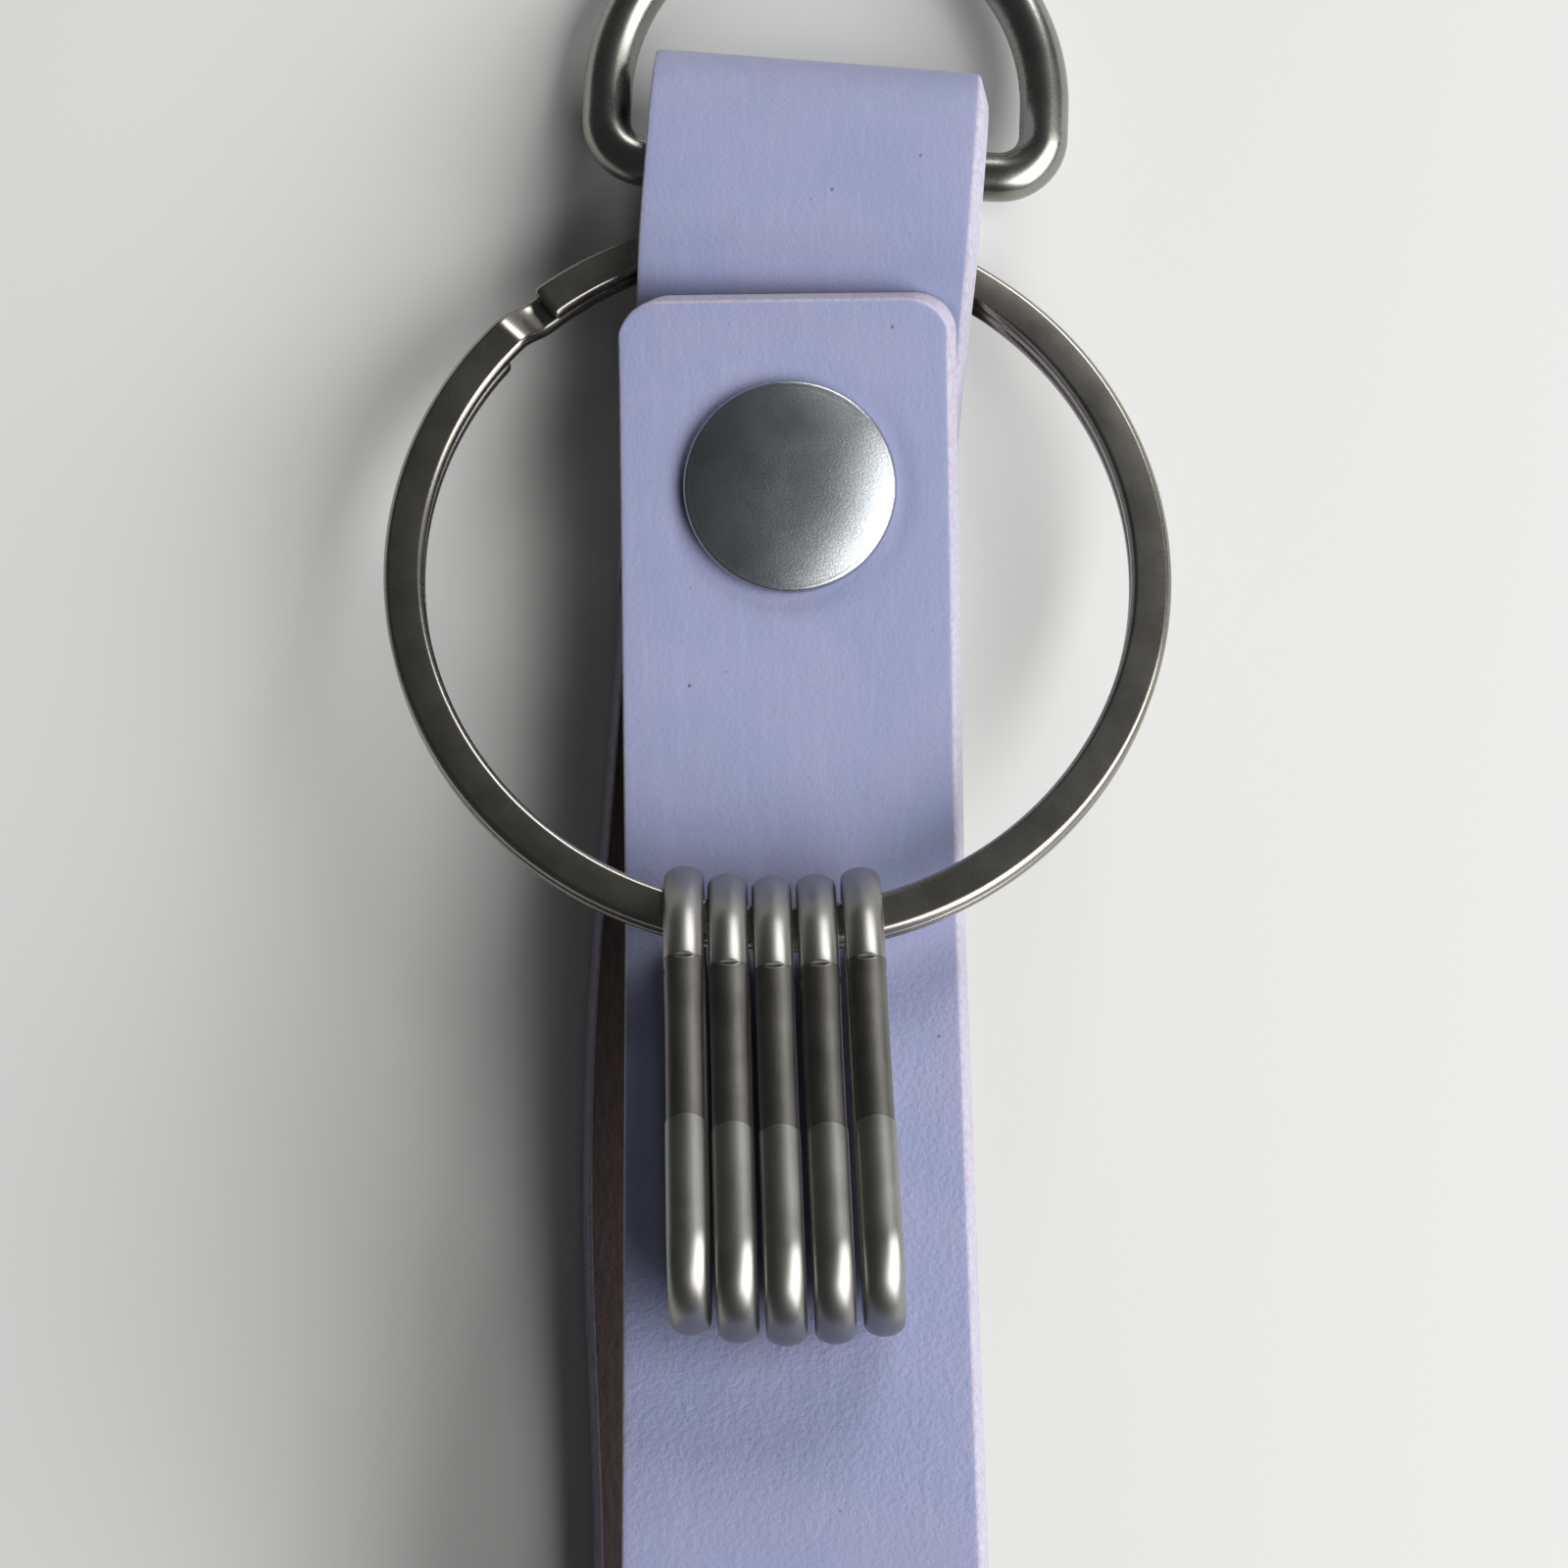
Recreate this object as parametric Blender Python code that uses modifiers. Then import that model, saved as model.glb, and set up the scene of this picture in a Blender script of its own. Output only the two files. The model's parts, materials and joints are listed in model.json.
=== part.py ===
"""Strap key holder: a D-ring and a split ring in one snap-closed leather strap, with five spring-gate links."""

import math

import bmesh
import bpy
import numpy as np
from mathutils import Vector

MM = 0.001

# Driving dimensions, in millimetres and degrees. Z = 0 is the face that the strap lies on,
# and the snap's axis is X = Y = 0. +Y runs towards the D-ring.
PLAY = 0.15                 # room between pieces that touch or slide
STRAP_WIDTH = 19.0
STRAP_THICKNESS = 2.0
STRAP_CORNER = 2.0          # rounding of the strap's two cut ends
LOOP_GAP = 7.0              # inner height of the small loop that holds both rings
LOOP_FOLD_Y = 20.2          # centre of the fold at the small loop's end
LOOP_LEAN = 4.5             # the small loop's turn about the snap's axis
LOOP_END_Y = -8.0           # the strap's inner cut end
RISE_RUN = 1.5882           # length of the small loop's rise for each millimetre that it climbs
BIGHT_RADIUS = 12.0         # middle radius of the large loop's bend
RAMP_ANGLE = 21.5           # slope of the front run over the large loop
RAMP_FOOT_Y = -25.2         # where the ramp's line meets the flap's level
RAMP_BEND = 13.0            # radius of the bend at the ramp's foot
FRONT_LEAN = -0.8           # the front run's turn about the snap's axis
BIGHT_LEAN = 1.6            # the back run's turn where the bend begins
FLAP_HINGE_Y = -16.0        # the line that the flap folds along
FLAP_TIP_Y = 11.0
FLAP_TIP_ROOM = 1.305       # the flap's tip above the small loop's slope

CAP_DIAMETER = 12.2
CAP_DOME = 1.25
CAP_RIM = 0.45
RIVET_DIAMETER = 3.0
STUD_BASE_DIAMETER = 9.2
STUD_HEAD_DIAMETER = 5.2
SOCKET_DIAMETER = 10.4
SOCKET_BORE = 6.6
SNAP_HEIGHT = 3.9           # from the small loop's face to the flap's underside
SNAP_SPRING_WIRE = 0.6
FLANGE_DIAMETER = 9.6
FLANGE_THICKNESS = 0.65

D_WIRE = 2.9
D_ROOM = 4.0                # between the two limbs, beyond the strap's width
D_ARC_RISE = 4.3            # from the bar to the bow's centre
D_CORNER = 2.6              # middle radius of the bar's corners
D_BAR = (1.98, 19.7)        # middle of the bar
D_LIFT = 0.55               # the bar above the small loop's back ply
D_YAW = -2.5
D_FLOOR_CLEARANCE = 0.2

RING_DIAMETER = 45.0
RING_WIRE_WIDTH = 2.3
RING_WIRE_THICKNESS = 0.95
RING_TURN_GAP = 0.1
RING_CHAMFER = 0.22
RING_PIVOT = (-0.3, 16.9)   # outermost point of the ring inside the small loop, before the loop's lean
RING_LIFT = 1.3             # that point above the small loop's back ply
RING_SAG = 0.347            # the ring below the middle of the ovals that hang on it
RING_END_ANGLE = 134.0      # where the upper turn is cut off
RING_STEP_ANGLE = 7.0       # the joggle from one turn to the other
RING_TAIL_GAP = 2.5         # from the lower turn's cut end to the joggle

LINK_COUNT = 5
LINK_LENGTH = 26.6
LINK_INNER = 6.0            # clear height inside the oval
LINK_WIRE_WIDTH = 2.2
LINK_WIRE_DEPTH = 1.45
LINK_PITCH = 2.45
LINK_MIDDLE_X = 1.03        # the middle link's place across the ring
LINK_YAW = 2.1
LINK_FAN = 0.31             # extra yaw from each link to the next
LINK_PLAY = 0.35            # link above the ramp
LINK_RING_PLAY = 0.35       # ring's inner edge to the link's end
GATE_START = 4.0            # from the ring's wire centre, along the link
GATE_LIP = 13.0
GATE_TIP = 1.0              # how far the gate's tip reaches under the lip
GATE_SHRINK = 0.12
GATE_SLOT = 1.0
GATE_SLOT_LENGTH = 4.6
GATE_ROOF = 0.22
GATE_PIN_DIAMETER = 0.6
GATE_PIN_SET_BACK = 0.8     # from the gate's end to its pin
GATE_SPRING_WIRE = 0.36


def ease(t):
    """0 to 1 with level ends, along half a cosine wave."""
    return (1 - np.cos(np.pi * np.clip(t, 0, 1))) / 2


# ---- collections and materials -------------------------------------------------------------
for leftover in list(bpy.data.objects):
    bpy.data.objects.remove(leftover)

holder = bpy.data.collections.new("key_holder")
cutters = bpy.data.collections.new("cutters")
bpy.context.scene.collection.children.link(holder)
bpy.context.scene.collection.children.link(cutters)
cutters.hide_render = True


def material(name, colour, roughness, metallic):
    made = bpy.data.materials.new(name)
    made.use_nodes = True
    shader = made.node_tree.nodes["Principled BSDF"]
    shader.inputs["Base Color"].default_value = (*colour, 1)
    shader.inputs["Roughness"].default_value = roughness
    shader.inputs["Metallic"].default_value = metallic
    return made


LEATHER = material("lavender_leather", (0.33, 0.33, 0.52), 0.55, 0.0)
SATIN_NICKEL = material("satin_nickel", (0.42, 0.40, 0.36), 0.32, 1.0)
DARK_NICKEL = material("dark_nickel", (0.24, 0.22, 0.20), 0.28, 1.0)
SPRING_STEEL = material("spring_steel", (0.50, 0.50, 0.48), 0.30, 1.0)


# ---- small makers --------------------------------------------------------------------------
def add(name, data, finish=None, parent=None, helper=False):
    made = bpy.data.objects.new(name, data)
    (cutters if helper else holder).objects.link(made)
    if helper:
        made.hide_render = True
        made.display_type = "WIRE"
    if finish:
        data.materials.clear()
        data.materials.append(finish)
    made.parent = parent
    return made


def smooth(made):
    made.data.shade_smooth()
    made.data.set_sharp_from_angle(angle=math.radians(35))


def pivot(name, place, turn=(0, 0, 0)):
    """An empty on a joint's axis."""
    made = bpy.data.objects.new(name, None)
    holder.objects.link(made)
    made.location = Vector(place) * MM
    made.rotation_euler = [math.radians(a) for a in turn]
    return made


def wire(name, points, radius=0.0, section=None, closed=False, twist="MINIMUM", **more):
    """A polyline with a round bevel of this radius, or with a section curve carried along it."""
    data = bpy.data.curves.new(name, "CURVE")
    data.dimensions = "3D"
    data.twist_mode = twist
    data.use_fill_caps = not closed
    if section:
        data.bevel_mode = "OBJECT"
        data.bevel_object = section
    else:
        data.bevel_depth = radius * MM
        data.bevel_resolution = 2
    spline = data.splines.new("POLY")
    spline.points.add(len(points) - 1)
    for spot, point in zip(spline.points, points):
        spot.co = (*(Vector(point) * MM), 1)
    spline.use_cyclic_u = closed
    return add(name, data, **more)


def section_curve(name, outline):
    """A closed flat outline that wire() carries along a path."""
    data = bpy.data.curves.new(name, "CURVE")
    data.dimensions = "2D"
    spline = data.splines.new("POLY")
    spline.points.add(len(outline) - 1)
    for spot, (x, y) in zip(spline.points, outline):
        spot.co = (x * MM, y * MM, 0, 1)
    spline.use_cyclic_u = True
    return add(name, data, helper=True)


def ellipse(width, depth, sides=12):
    turns = [2 * math.pi * k / sides for k in range(sides)]
    return [(width / 2 * math.cos(a), depth / 2 * math.sin(a)) for a in turns]


def as_mesh(source, name, helper=False, finish=None):
    """The evaluated source as welded mesh data in a new object; the source is removed."""
    graph = bpy.context.evaluated_depsgraph_get()
    data = bpy.data.meshes.new_from_object(source.evaluated_get(graph))
    data.name = name
    welder = bmesh.new()
    welder.from_mesh(data)
    bmesh.ops.remove_doubles(welder, verts=welder.verts, dist=0.00001)
    bmesh.ops.recalc_face_normals(welder, faces=welder.faces)
    welder.to_mesh(data)
    welder.free()
    place = source.matrix_world.copy()
    bpy.data.objects.remove(source)
    made = add(name, data, finish=finish, helper=helper)
    made.matrix_world = place
    return made


def box(name, low, high):
    """A cutter box between two corners."""
    bpy.ops.mesh.primitive_cube_add(size=1)
    data = bpy.context.object.data
    bpy.data.objects.remove(bpy.context.object)
    span = Vector(high) - Vector(low)
    middle = (Vector(high) + Vector(low)) / 2
    for corner in data.vertices:
        corner.co = Vector(c * s + m for c, s, m in zip(corner.co, span, middle)) * MM
    return add(name, data, helper=True)


def rod(name, radius, length, place, along_x=False, sides=12, **more):
    """A cylinder along Z, or along X, centred on its place."""
    bpy.ops.mesh.primitive_cylinder_add(vertices=sides, radius=radius * MM, depth=length * MM)
    data = bpy.context.object.data
    bpy.data.objects.remove(bpy.context.object)
    if along_x:
        for corner in data.vertices:
            corner.co = Vector((corner.co.z, corner.co.y, -corner.co.x))
    for corner in data.vertices:
        corner.co += Vector(place) * MM
    return add(name, data, **more)


def combine(target, other, operation):
    step = target.modifiers.new(other.name, "BOOLEAN")
    step.operation = operation
    step.solver = "EXACT"
    step.object = other


def turned(name, profile, finish, steps=28, parent=None):
    """A profile of (radius, height) points swept round Z: outer side down, then inner side up."""
    data = bpy.data.meshes.new(name)
    points = [(radius * MM, 0, height * MM) for radius, height in profile]
    count = len(points)
    on_axis = profile[0][0] == 0 and profile[-1][0] == 0
    edges = [(k, k + 1) for k in range(count - 1)] + ([] if on_axis else [(count - 1, 0)])
    data.from_pydata(points, edges, [])
    made = add(name, data, finish=finish, parent=parent)
    screw = made.modifiers.new("turn", "SCREW")
    screw.steps = screw.render_steps = steps
    screw.use_merge_vertices = True
    screw.merge_threshold = 0.00001
    screw.use_smooth_shade = True
    return made


# ---- leather strap -------------------------------------------------------------------------
back_mid = STRAP_THICKNESS / 2
front_mid = STRAP_THICKNESS * 1.5 + 0.2
front_top = front_mid + STRAP_THICKNESS / 2
loop_mid = back_mid + LOOP_GAP + STRAP_THICKNESS
flap_under = front_top + SNAP_HEIGHT
flap_mid = flap_under + STRAP_THICKNESS / 2
flap_top = flap_under + STRAP_THICKNESS
slope_start = STUD_BASE_DIAMETER / 2 + 0.6
rise_end = slope_start + RISE_RUN * (loop_mid - front_mid)
slope = math.radians(RAMP_ANGLE)


def loop_height(y):
    """Middle height of the small loop's upper ply over its rise."""
    return front_mid + (loop_mid - front_mid) * ease((y - slope_start) / (rise_end - slope_start))


tip_lift = loop_height(FLAP_TIP_Y) + STRAP_THICKNESS / 2 + FLAP_TIP_ROOM - flap_under


def run(start, end, count, height, lean):
    """Stations (y, z, lean) along a level run, its start included and its end left out."""
    return [(start + (end - start) * k / count, height, lean) for k in range(count)]


def bend(centre, radius, first, last, count, leans):
    """Stations along an arc in the YZ plane, angles in degrees from +Y towards +Z."""
    found = []
    for k in range(count):
        angle = math.radians(first + (last - first) * k / count)
        lean = leans[0] + (leans[1] - leans[0]) * k / count
        found.append((centre[0] + radius * math.cos(angle), centre[1] + radius * math.sin(angle), lean))
    return found


def ramp_mid(y):
    """Middle height of the ramp's straight line at this Y."""
    return flap_mid + (RAMP_FOOT_Y - y) * math.tan(slope)


def strap_stations():
    """The strap's middle line from its inner cut end to the flap's tip."""
    rise = [
        (y, loop_height(y), LOOP_LEAN)
        for y in np.linspace(slope_start, rise_end, 14, endpoint=False)
    ]
    fold = ((LOOP_FOLD_Y, (loop_mid + back_mid) / 2), (loop_mid - back_mid) / 2)
    bight_z = back_mid + BIGHT_RADIUS
    leave_z = bight_z + BIGHT_RADIUS * math.cos(slope)
    leave_y = RAMP_FOOT_Y - (leave_z - flap_mid) / math.tan(slope)
    bight_y = leave_y - BIGHT_RADIUS * math.sin(slope)
    back = [
        (y, back_mid, LOOP_LEAN + (BIGHT_LEAN - LOOP_LEAN) * ease((RAMP_FOOT_Y - y) / (RAMP_FOOT_Y - bight_y)))
        for y in np.linspace(LOOP_FOLD_Y, bight_y, 22, endpoint=False)
    ]
    tangent = RAMP_BEND * math.tan(slope / 2)
    foot_start = RAMP_FOOT_Y - tangent * math.cos(slope)
    ramp = [(y, ramp_mid(y), FRONT_LEAN) for y in np.linspace(leave_y, foot_start, 5, endpoint=False)]
    foot = bend(
        (RAMP_FOOT_Y + tangent, flap_mid + RAMP_BEND), RAMP_BEND, -90 - RAMP_ANGLE, -90, 6, (FRONT_LEAN,) * 2
    )
    flap = [
        (y, flap_mid + tip_lift * ease((y - slope_start) / (FLAP_TIP_Y - slope_start) / 2) * 2, FRONT_LEAN)
        for y in np.linspace(slope_start, FLAP_TIP_Y, 8)
    ]
    return (
        run(LOOP_END_Y, slope_start, 4, front_mid, LOOP_LEAN)
        + rise
        + run(rise_end, LOOP_FOLD_Y, 2, loop_mid, LOOP_LEAN)
        + bend(*fold, 90, -90, 14, (LOOP_LEAN,) * 2)
        + back
        + bend((bight_y, bight_z), BIGHT_RADIUS, -90, -270 - RAMP_ANGLE, 18, (BIGHT_LEAN, FRONT_LEAN))
        + ramp
        + foot
        + run(RAMP_FOOT_Y + tangent, slope_start, 6, flap_mid, FRONT_LEAN)
        + flap
    )


stations = np.array(strap_stations())
steps = np.hypot(np.diff(stations[:, 0]), np.diff(stations[:, 1]))
along = np.concatenate([[0], np.cumsum(steps)])
on_front = (stations[:, 1] > flap_mid - 0.5) & (stations[:, 0] < 0) & (along > along[-1] / 2)
hinge_along = float(np.interp(FLAP_HINGE_Y, stations[on_front, 0], along[on_front]))


def strap_piece(name, start, end, round_start, round_end):
    """A grid laid along the middle line from one length to another, thickened, with round corners at a cut end."""
    half = STRAP_WIDTH / 2
    corner = [half - STRAP_CORNER + STRAP_CORNER * math.sin(math.radians(a)) for a in (0, 30, 60, 90)]
    across = np.array([-u for u in reversed(corner)] + [0] + corner)
    inside = along[(along > start + 0.4) & (along < end - 0.4)]
    rows = np.concatenate([[start], inside, [end]])
    bpy.ops.mesh.primitive_grid_add(x_subdivisions=len(across) - 1, y_subdivisions=len(rows) - 1, size=1)
    data = bpy.context.object.data
    bpy.data.objects.remove(bpy.context.object)
    u = np.tile(across, len(rows))
    s = np.repeat(rows, len(across))
    over = np.clip(np.abs(u) - (half - STRAP_CORNER), 0, STRAP_CORNER)
    trim = STRAP_CORNER - np.sqrt(STRAP_CORNER**2 - over**2)
    reach = 2 * STRAP_CORNER
    if round_end:
        s = s - trim * np.clip((s - (end - reach)) / reach, 0, 1)
    if round_start:
        s = s + trim * np.clip(((start + reach) - s) / reach, 0, 1)
    y, z, lean = (np.interp(s, along, stations[:, k]) for k in range(3))
    lean = np.radians(lean)
    points = np.stack([u * np.cos(lean) + y * np.sin(lean), y * np.cos(lean) - u * np.sin(lean), z], axis=1)
    data.vertices.foreach_set("co", (points * MM).ravel().astype(np.float32))
    data.update()
    made = add(name, data, finish=LEATHER)
    shell = made.modifiers.new("thickness", "SOLIDIFY")
    shell.thickness = STRAP_THICKNESS * MM
    shell.offset = 0
    return made


strap_loop = strap_piece("strap_loop", 0, hinge_along - PLAY, True, False)
strap_flap = strap_piece("strap_flap", hinge_along + PLAY, along[-1], False, True)

post_hole = rod("post_hole", RIVET_DIAMETER / 2 + 0.4, 2 * front_top, (0, 0, front_top / 2), sides=16, helper=True)
flange_seat = rod(
    "flange_seat", FLANGE_DIAMETER / 2 + PLAY, 2 * (FLANGE_THICKNESS + PLAY), (0, 0, 0), sides=28, helper=True
)
rivet_hole = rod("rivet_hole", RIVET_DIAMETER / 2 + 0.3, 2 * STRAP_THICKNESS, (0, 0, flap_mid), sides=16, helper=True)
combine(strap_loop, post_hole, "DIFFERENCE")
combine(strap_loop, flange_seat, "DIFFERENCE")
combine(strap_flap, rivet_hole, "DIFFERENCE")


# ---- press snap ----------------------------------------------------------------------------
stud_floor = front_top + PLAY
stud_top = flap_under - 0.75
rivet_radius = RIVET_DIAMETER / 2
bore_radius = rivet_radius + 0.25
stud_head = STUD_HEAD_DIAMETER / 2
turned(
    "snap_stud",
    [
        (0, stud_top),
        (stud_head - 0.7, stud_top),
        (stud_head, stud_top - 0.7),
        (stud_head - 0.35, stud_top - 1.3),
        (stud_head - 0.3, stud_floor + 0.55),
        (STUD_BASE_DIAMETER / 2, stud_floor + 0.45),
        (STUD_BASE_DIAMETER / 2, stud_floor),
        (bore_radius, stud_floor),
        (bore_radius, stud_top - 0.5),
        (0, stud_top - 0.5),
    ],
    SATIN_NICKEL,
)
flange_top = FLANGE_THICKNESS
turned(
    "snap_post",
    [
        (0, stud_top - 0.7),
        (rivet_radius, stud_top - 0.7),
        (rivet_radius, flange_top + 0.2),
        (rivet_radius + 0.3, flange_top),
        (FLANGE_DIAMETER / 2 - 0.3, flange_top),
        (FLANGE_DIAMETER / 2, flange_top - 0.3),
        (FLANGE_DIAMETER / 2 - 0.3, 0),
        (0, 0),
    ],
    SATIN_NICKEL,
)
socket_top = flap_under - 0.1
socket_plate = socket_top - 0.5
groove_low = stud_floor + 1.15
groove_high = groove_low + SNAP_SPRING_WIRE + 0.2
groove_radius = SOCKET_BORE / 2 + 0.55
bore = SOCKET_BORE / 2
turned(
    "snap_socket",
    [
        (SOCKET_DIAMETER / 2, socket_top),
        (SOCKET_DIAMETER / 2, socket_top - 0.45),
        (SOCKET_DIAMETER / 2 - 0.5, socket_top - 0.7),
        (groove_radius + 0.45, stud_floor + 1.1),
        (groove_radius + 0.2, stud_floor + 0.75),
        (bore, stud_floor + 0.75),
        (bore, groove_low),
        (groove_radius, groove_low),
        (groove_radius, groove_high),
        (bore, groove_high),
        (bore, socket_plate),
        (rivet_radius + 0.2, socket_plate),
        (rivet_radius + 0.2, socket_top),
    ],
    SATIN_NICKEL,
)
spring_mid = groove_radius - SNAP_SPRING_WIRE / 2 - 0.05
wire(
    "snap_spring",
    [
        (spring_mid * math.cos(a), spring_mid * math.sin(a), (groove_low + groove_high) / 2)
        for a in np.radians(np.linspace(25, 335, 25))
    ],
    radius=SNAP_SPRING_WIRE / 2,
    finish=SPRING_STEEL,
)
cap_floor = flap_top + 0.1
cap_radius = CAP_DIAMETER / 2
dome = [
    (cap_radius * math.sin(a), cap_floor + CAP_RIM + (CAP_DOME - CAP_RIM) * math.cos(a) ** 1.4)
    for a in np.radians([0, 20, 38, 54, 68, 80])
]
turned(
    "snap_cap",
    dome
    + [
        (cap_radius, cap_floor + CAP_RIM),
        (cap_radius, cap_floor + 0.15),
        (cap_radius - 0.3, cap_floor),
        (rivet_radius, cap_floor),
        (rivet_radius, socket_plate + 0.05),
        (0, socket_plate + 0.05),
    ],
    SATIN_NICKEL,
    steps=40,
)


# ---- D-ring --------------------------------------------------------------------------------
d_half = (STRAP_WIDTH + D_ROOM + D_WIRE) / 2
d_bar = (*D_BAR, STRAP_THICKNESS + D_LIFT + D_WIRE / 2)


def d_outline():
    """Middle line of the wire: a bar with two round corners, closed by a bow."""
    points = [(x, 0, 0) for x in (0, d_half - D_CORNER)]
    for a in np.radians([-60, -30, 0]):
        points.append((d_half - D_CORNER + D_CORNER * math.cos(a), D_CORNER + D_CORNER * math.sin(a), 0))
    for a in np.radians(np.linspace(0, 180, 25)):
        points.append((d_half * math.cos(a), D_ARC_RISE + d_half * math.sin(a), 0))
    for a in np.radians([180, 210, 240]):
        points.append((D_CORNER - d_half + D_CORNER * math.cos(a), D_CORNER + D_CORNER * math.sin(a), 0))
    points.append((D_CORNER - d_half, 0, 0))
    return points


d_drop = math.degrees(math.asin((d_bar[2] - D_WIRE / 2 - D_FLOOR_CLEARANCE) / (D_ARC_RISE + d_half)))
d_pivot = pivot("d_ring_pivot", d_bar, (-d_drop, 0, D_YAW))
wire("d_ring", d_outline(), radius=D_WIRE / 2, closed=True, finish=SATIN_NICKEL, parent=d_pivot)


# ---- split ring ----------------------------------------------------------------------------
lean = math.radians(LOOP_LEAN)
ring_height = STRAP_THICKNESS + RING_LIFT
ring_outer = RING_DIAMETER / 2
ring_mid = ring_outer - RING_WIRE_WIDTH / 2


def leaned(x, y, z):
    """A point of the unleaned small loop, turned with it about the snap's axis."""
    return (x * math.cos(lean) + y * math.sin(lean), y * math.cos(lean) - x * math.sin(lean), z)


def ring_point(x, tilt):
    """Centre of the ring's double wire at this distance across the small loop, in the holder's frame."""
    reach = ring_outer + math.sqrt(ring_mid**2 - (x - RING_PIVOT[0]) ** 2)
    return leaned(x, RING_PIVOT[1] - reach * math.cos(tilt), ring_height + reach * math.sin(tilt))


def link_lift(place):
    """How far a link that clears the ramp has its middle above this point of the ring, square to the ramp."""
    ramp_top = ramp_mid(place[1]) + STRAP_THICKNESS / 2 / math.cos(slope)
    return LINK_PLAY + LINK_WIRE_DEPTH + LINK_INNER / 2 - (place[2] - ramp_top) * math.cos(slope)


def resting_tilt():
    """The ring's slope that leaves it RING_SAG below the middle link's middle, found by halving."""
    low, high = 0.0, math.radians(60)
    for _ in range(50):
        middle = (low + high) / 2
        if link_lift(ring_point(LINK_MIDDLE_X, middle)) > RING_SAG:
            low = middle
        else:
            high = middle
    return middle


ring_tilt = resting_tilt()


def ring_path():
    """Two turns, clockwise from the cut end of the upper turn, with one joggle down to the lower turn."""
    level = (RING_WIRE_THICKNESS + RING_TURN_GAP) / 2
    step_start = 360 - RING_STEP_ANGLE - 1
    last_turn = 360 + step_start - RING_TAIL_GAP
    coarse = np.arange(0, last_turn - 2, 5.0)
    inside = (coarse > step_start - 3) & (coarse < step_start + RING_STEP_ANGLE + 3)
    joggle = np.linspace(step_start - 2, step_start + RING_STEP_ANGLE + 2, 10)
    turns = np.concatenate([coarse[~inside], joggle, [last_turn]])
    found = []
    for turn in np.sort(turns):
        angle = math.radians(RING_END_ANGLE - turn)
        height = level * (1 - 2 * ease((turn - step_start) / RING_STEP_ANGLE))
        found.append((ring_mid * math.cos(angle), ring_mid * math.sin(angle) - ring_outer, height))
    return found


def flat_wire(width, thickness, chamfer):
    """A rectangle with its corners cut off."""
    x, y = width / 2, thickness / 2
    quarter = [(x, y - chamfer), (x - chamfer, y)]
    left = [(-a, b) for a, b in reversed(quarter)]
    upper = quarter + left
    return [(-a, -b) for a, b in reversed(upper)] + upper[::-1]


ring_pivot = pivot(
    "split_ring_pivot", leaned(*RING_PIVOT, ring_height), (-math.degrees(ring_tilt), 0, -LOOP_LEAN)
)
ring_section = section_curve("ring_section", flat_wire(RING_WIRE_WIDTH, RING_WIRE_THICKNESS, RING_CHAMFER))
wire("split_ring", ring_path(), section=ring_section, twist="Z_UP", finish=DARK_NICKEL, parent=ring_pivot)


# ---- spring-gate links ---------------------------------------------------------------------
# A link's own frame: X across it, -Y along it from the ring, +Z away from the strap.
bar_height = (LINK_INNER + LINK_WIRE_DEPTH) / 2
end_centre = LINK_INNER / 2 - RING_WIRE_WIDTH / 2 - LINK_RING_PLAY
far_centre = end_centre + LINK_LENGTH - LINK_INNER - 2 * LINK_WIRE_DEPTH
pin_place = GATE_START + GATE_PIN_SET_BACK
half_depth = LINK_WIRE_DEPTH / 2
body_end = GATE_START - 0.4


def link_path():
    """Middle line of the body: front bar at the ring, round the ring's end, back bar, round the far end, nose."""
    found = [(0, -body_end, bar_height)]
    found += [
        (0, -(end_centre - bar_height * math.cos(a)), bar_height * math.sin(a))
        for a in np.radians(np.linspace(90, -90, 11))
    ]
    found += [
        (0, -(far_centre + bar_height * math.cos(a)), bar_height * math.sin(a))
        for a in np.radians(np.linspace(-90, 90, 11))
    ]
    return found + [(0, -GATE_LIP, bar_height)]


link_section = section_curve("link_section", ellipse(LINK_WIRE_WIDTH, LINK_WIRE_DEPTH))
gate_section = section_curve("gate_section", ellipse(LINK_WIRE_WIDTH - GATE_SHRINK, LINK_WIRE_DEPTH - GATE_SHRINK))
tongue_half = GATE_SLOT / 2 - 0.1
tongue_low = bar_height - half_depth + 0.12
lip_floor = bar_height + 0.08
body_draft = as_mesh(wire("body_wire", link_path(), section=link_section), "body_draft", helper=True)
tongue = box(
    "tongue", (-tongue_half, -(pin_place + 0.35), tongue_low), (tongue_half, -(body_end - 0.6), bar_height + 0.36)
)
tongue_toe = box(
    "tongue_toe", (-tongue_half, -(pin_place + 0.55), tongue_low), (tongue_half, -pin_place, bar_height + 0.16)
)
nose_pocket = box(
    "nose_pocket",
    (-LINK_WIRE_WIDTH, -(GATE_LIP + GATE_TIP + 0.15), bar_height - LINK_WIRE_DEPTH),
    (LINK_WIRE_WIDTH, -(GATE_LIP - 1), lip_floor),
)
gate_draft = as_mesh(
    wire(
        "gate_wire",
        [(0, -GATE_START, bar_height), (0, -(GATE_LIP + GATE_TIP), bar_height)],
        section=gate_section,
        twist="Z_UP",
    ),
    "gate_draft",
    helper=True,
)
lip_step = box(
    "lip_step",
    (-LINK_WIRE_WIDTH, -(GATE_LIP + GATE_TIP + 1), lip_floor - 0.1),
    (LINK_WIRE_WIDTH, -(GATE_LIP - 0.1), bar_height + LINK_WIRE_DEPTH),
)
spring_slot = box(
    "spring_slot",
    (-GATE_SLOT / 2, -(GATE_START + GATE_SLOT_LENGTH), bar_height - LINK_WIRE_DEPTH),
    (GATE_SLOT / 2, -(GATE_START - 1), bar_height + half_depth - GATE_ROOF),
)
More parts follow.
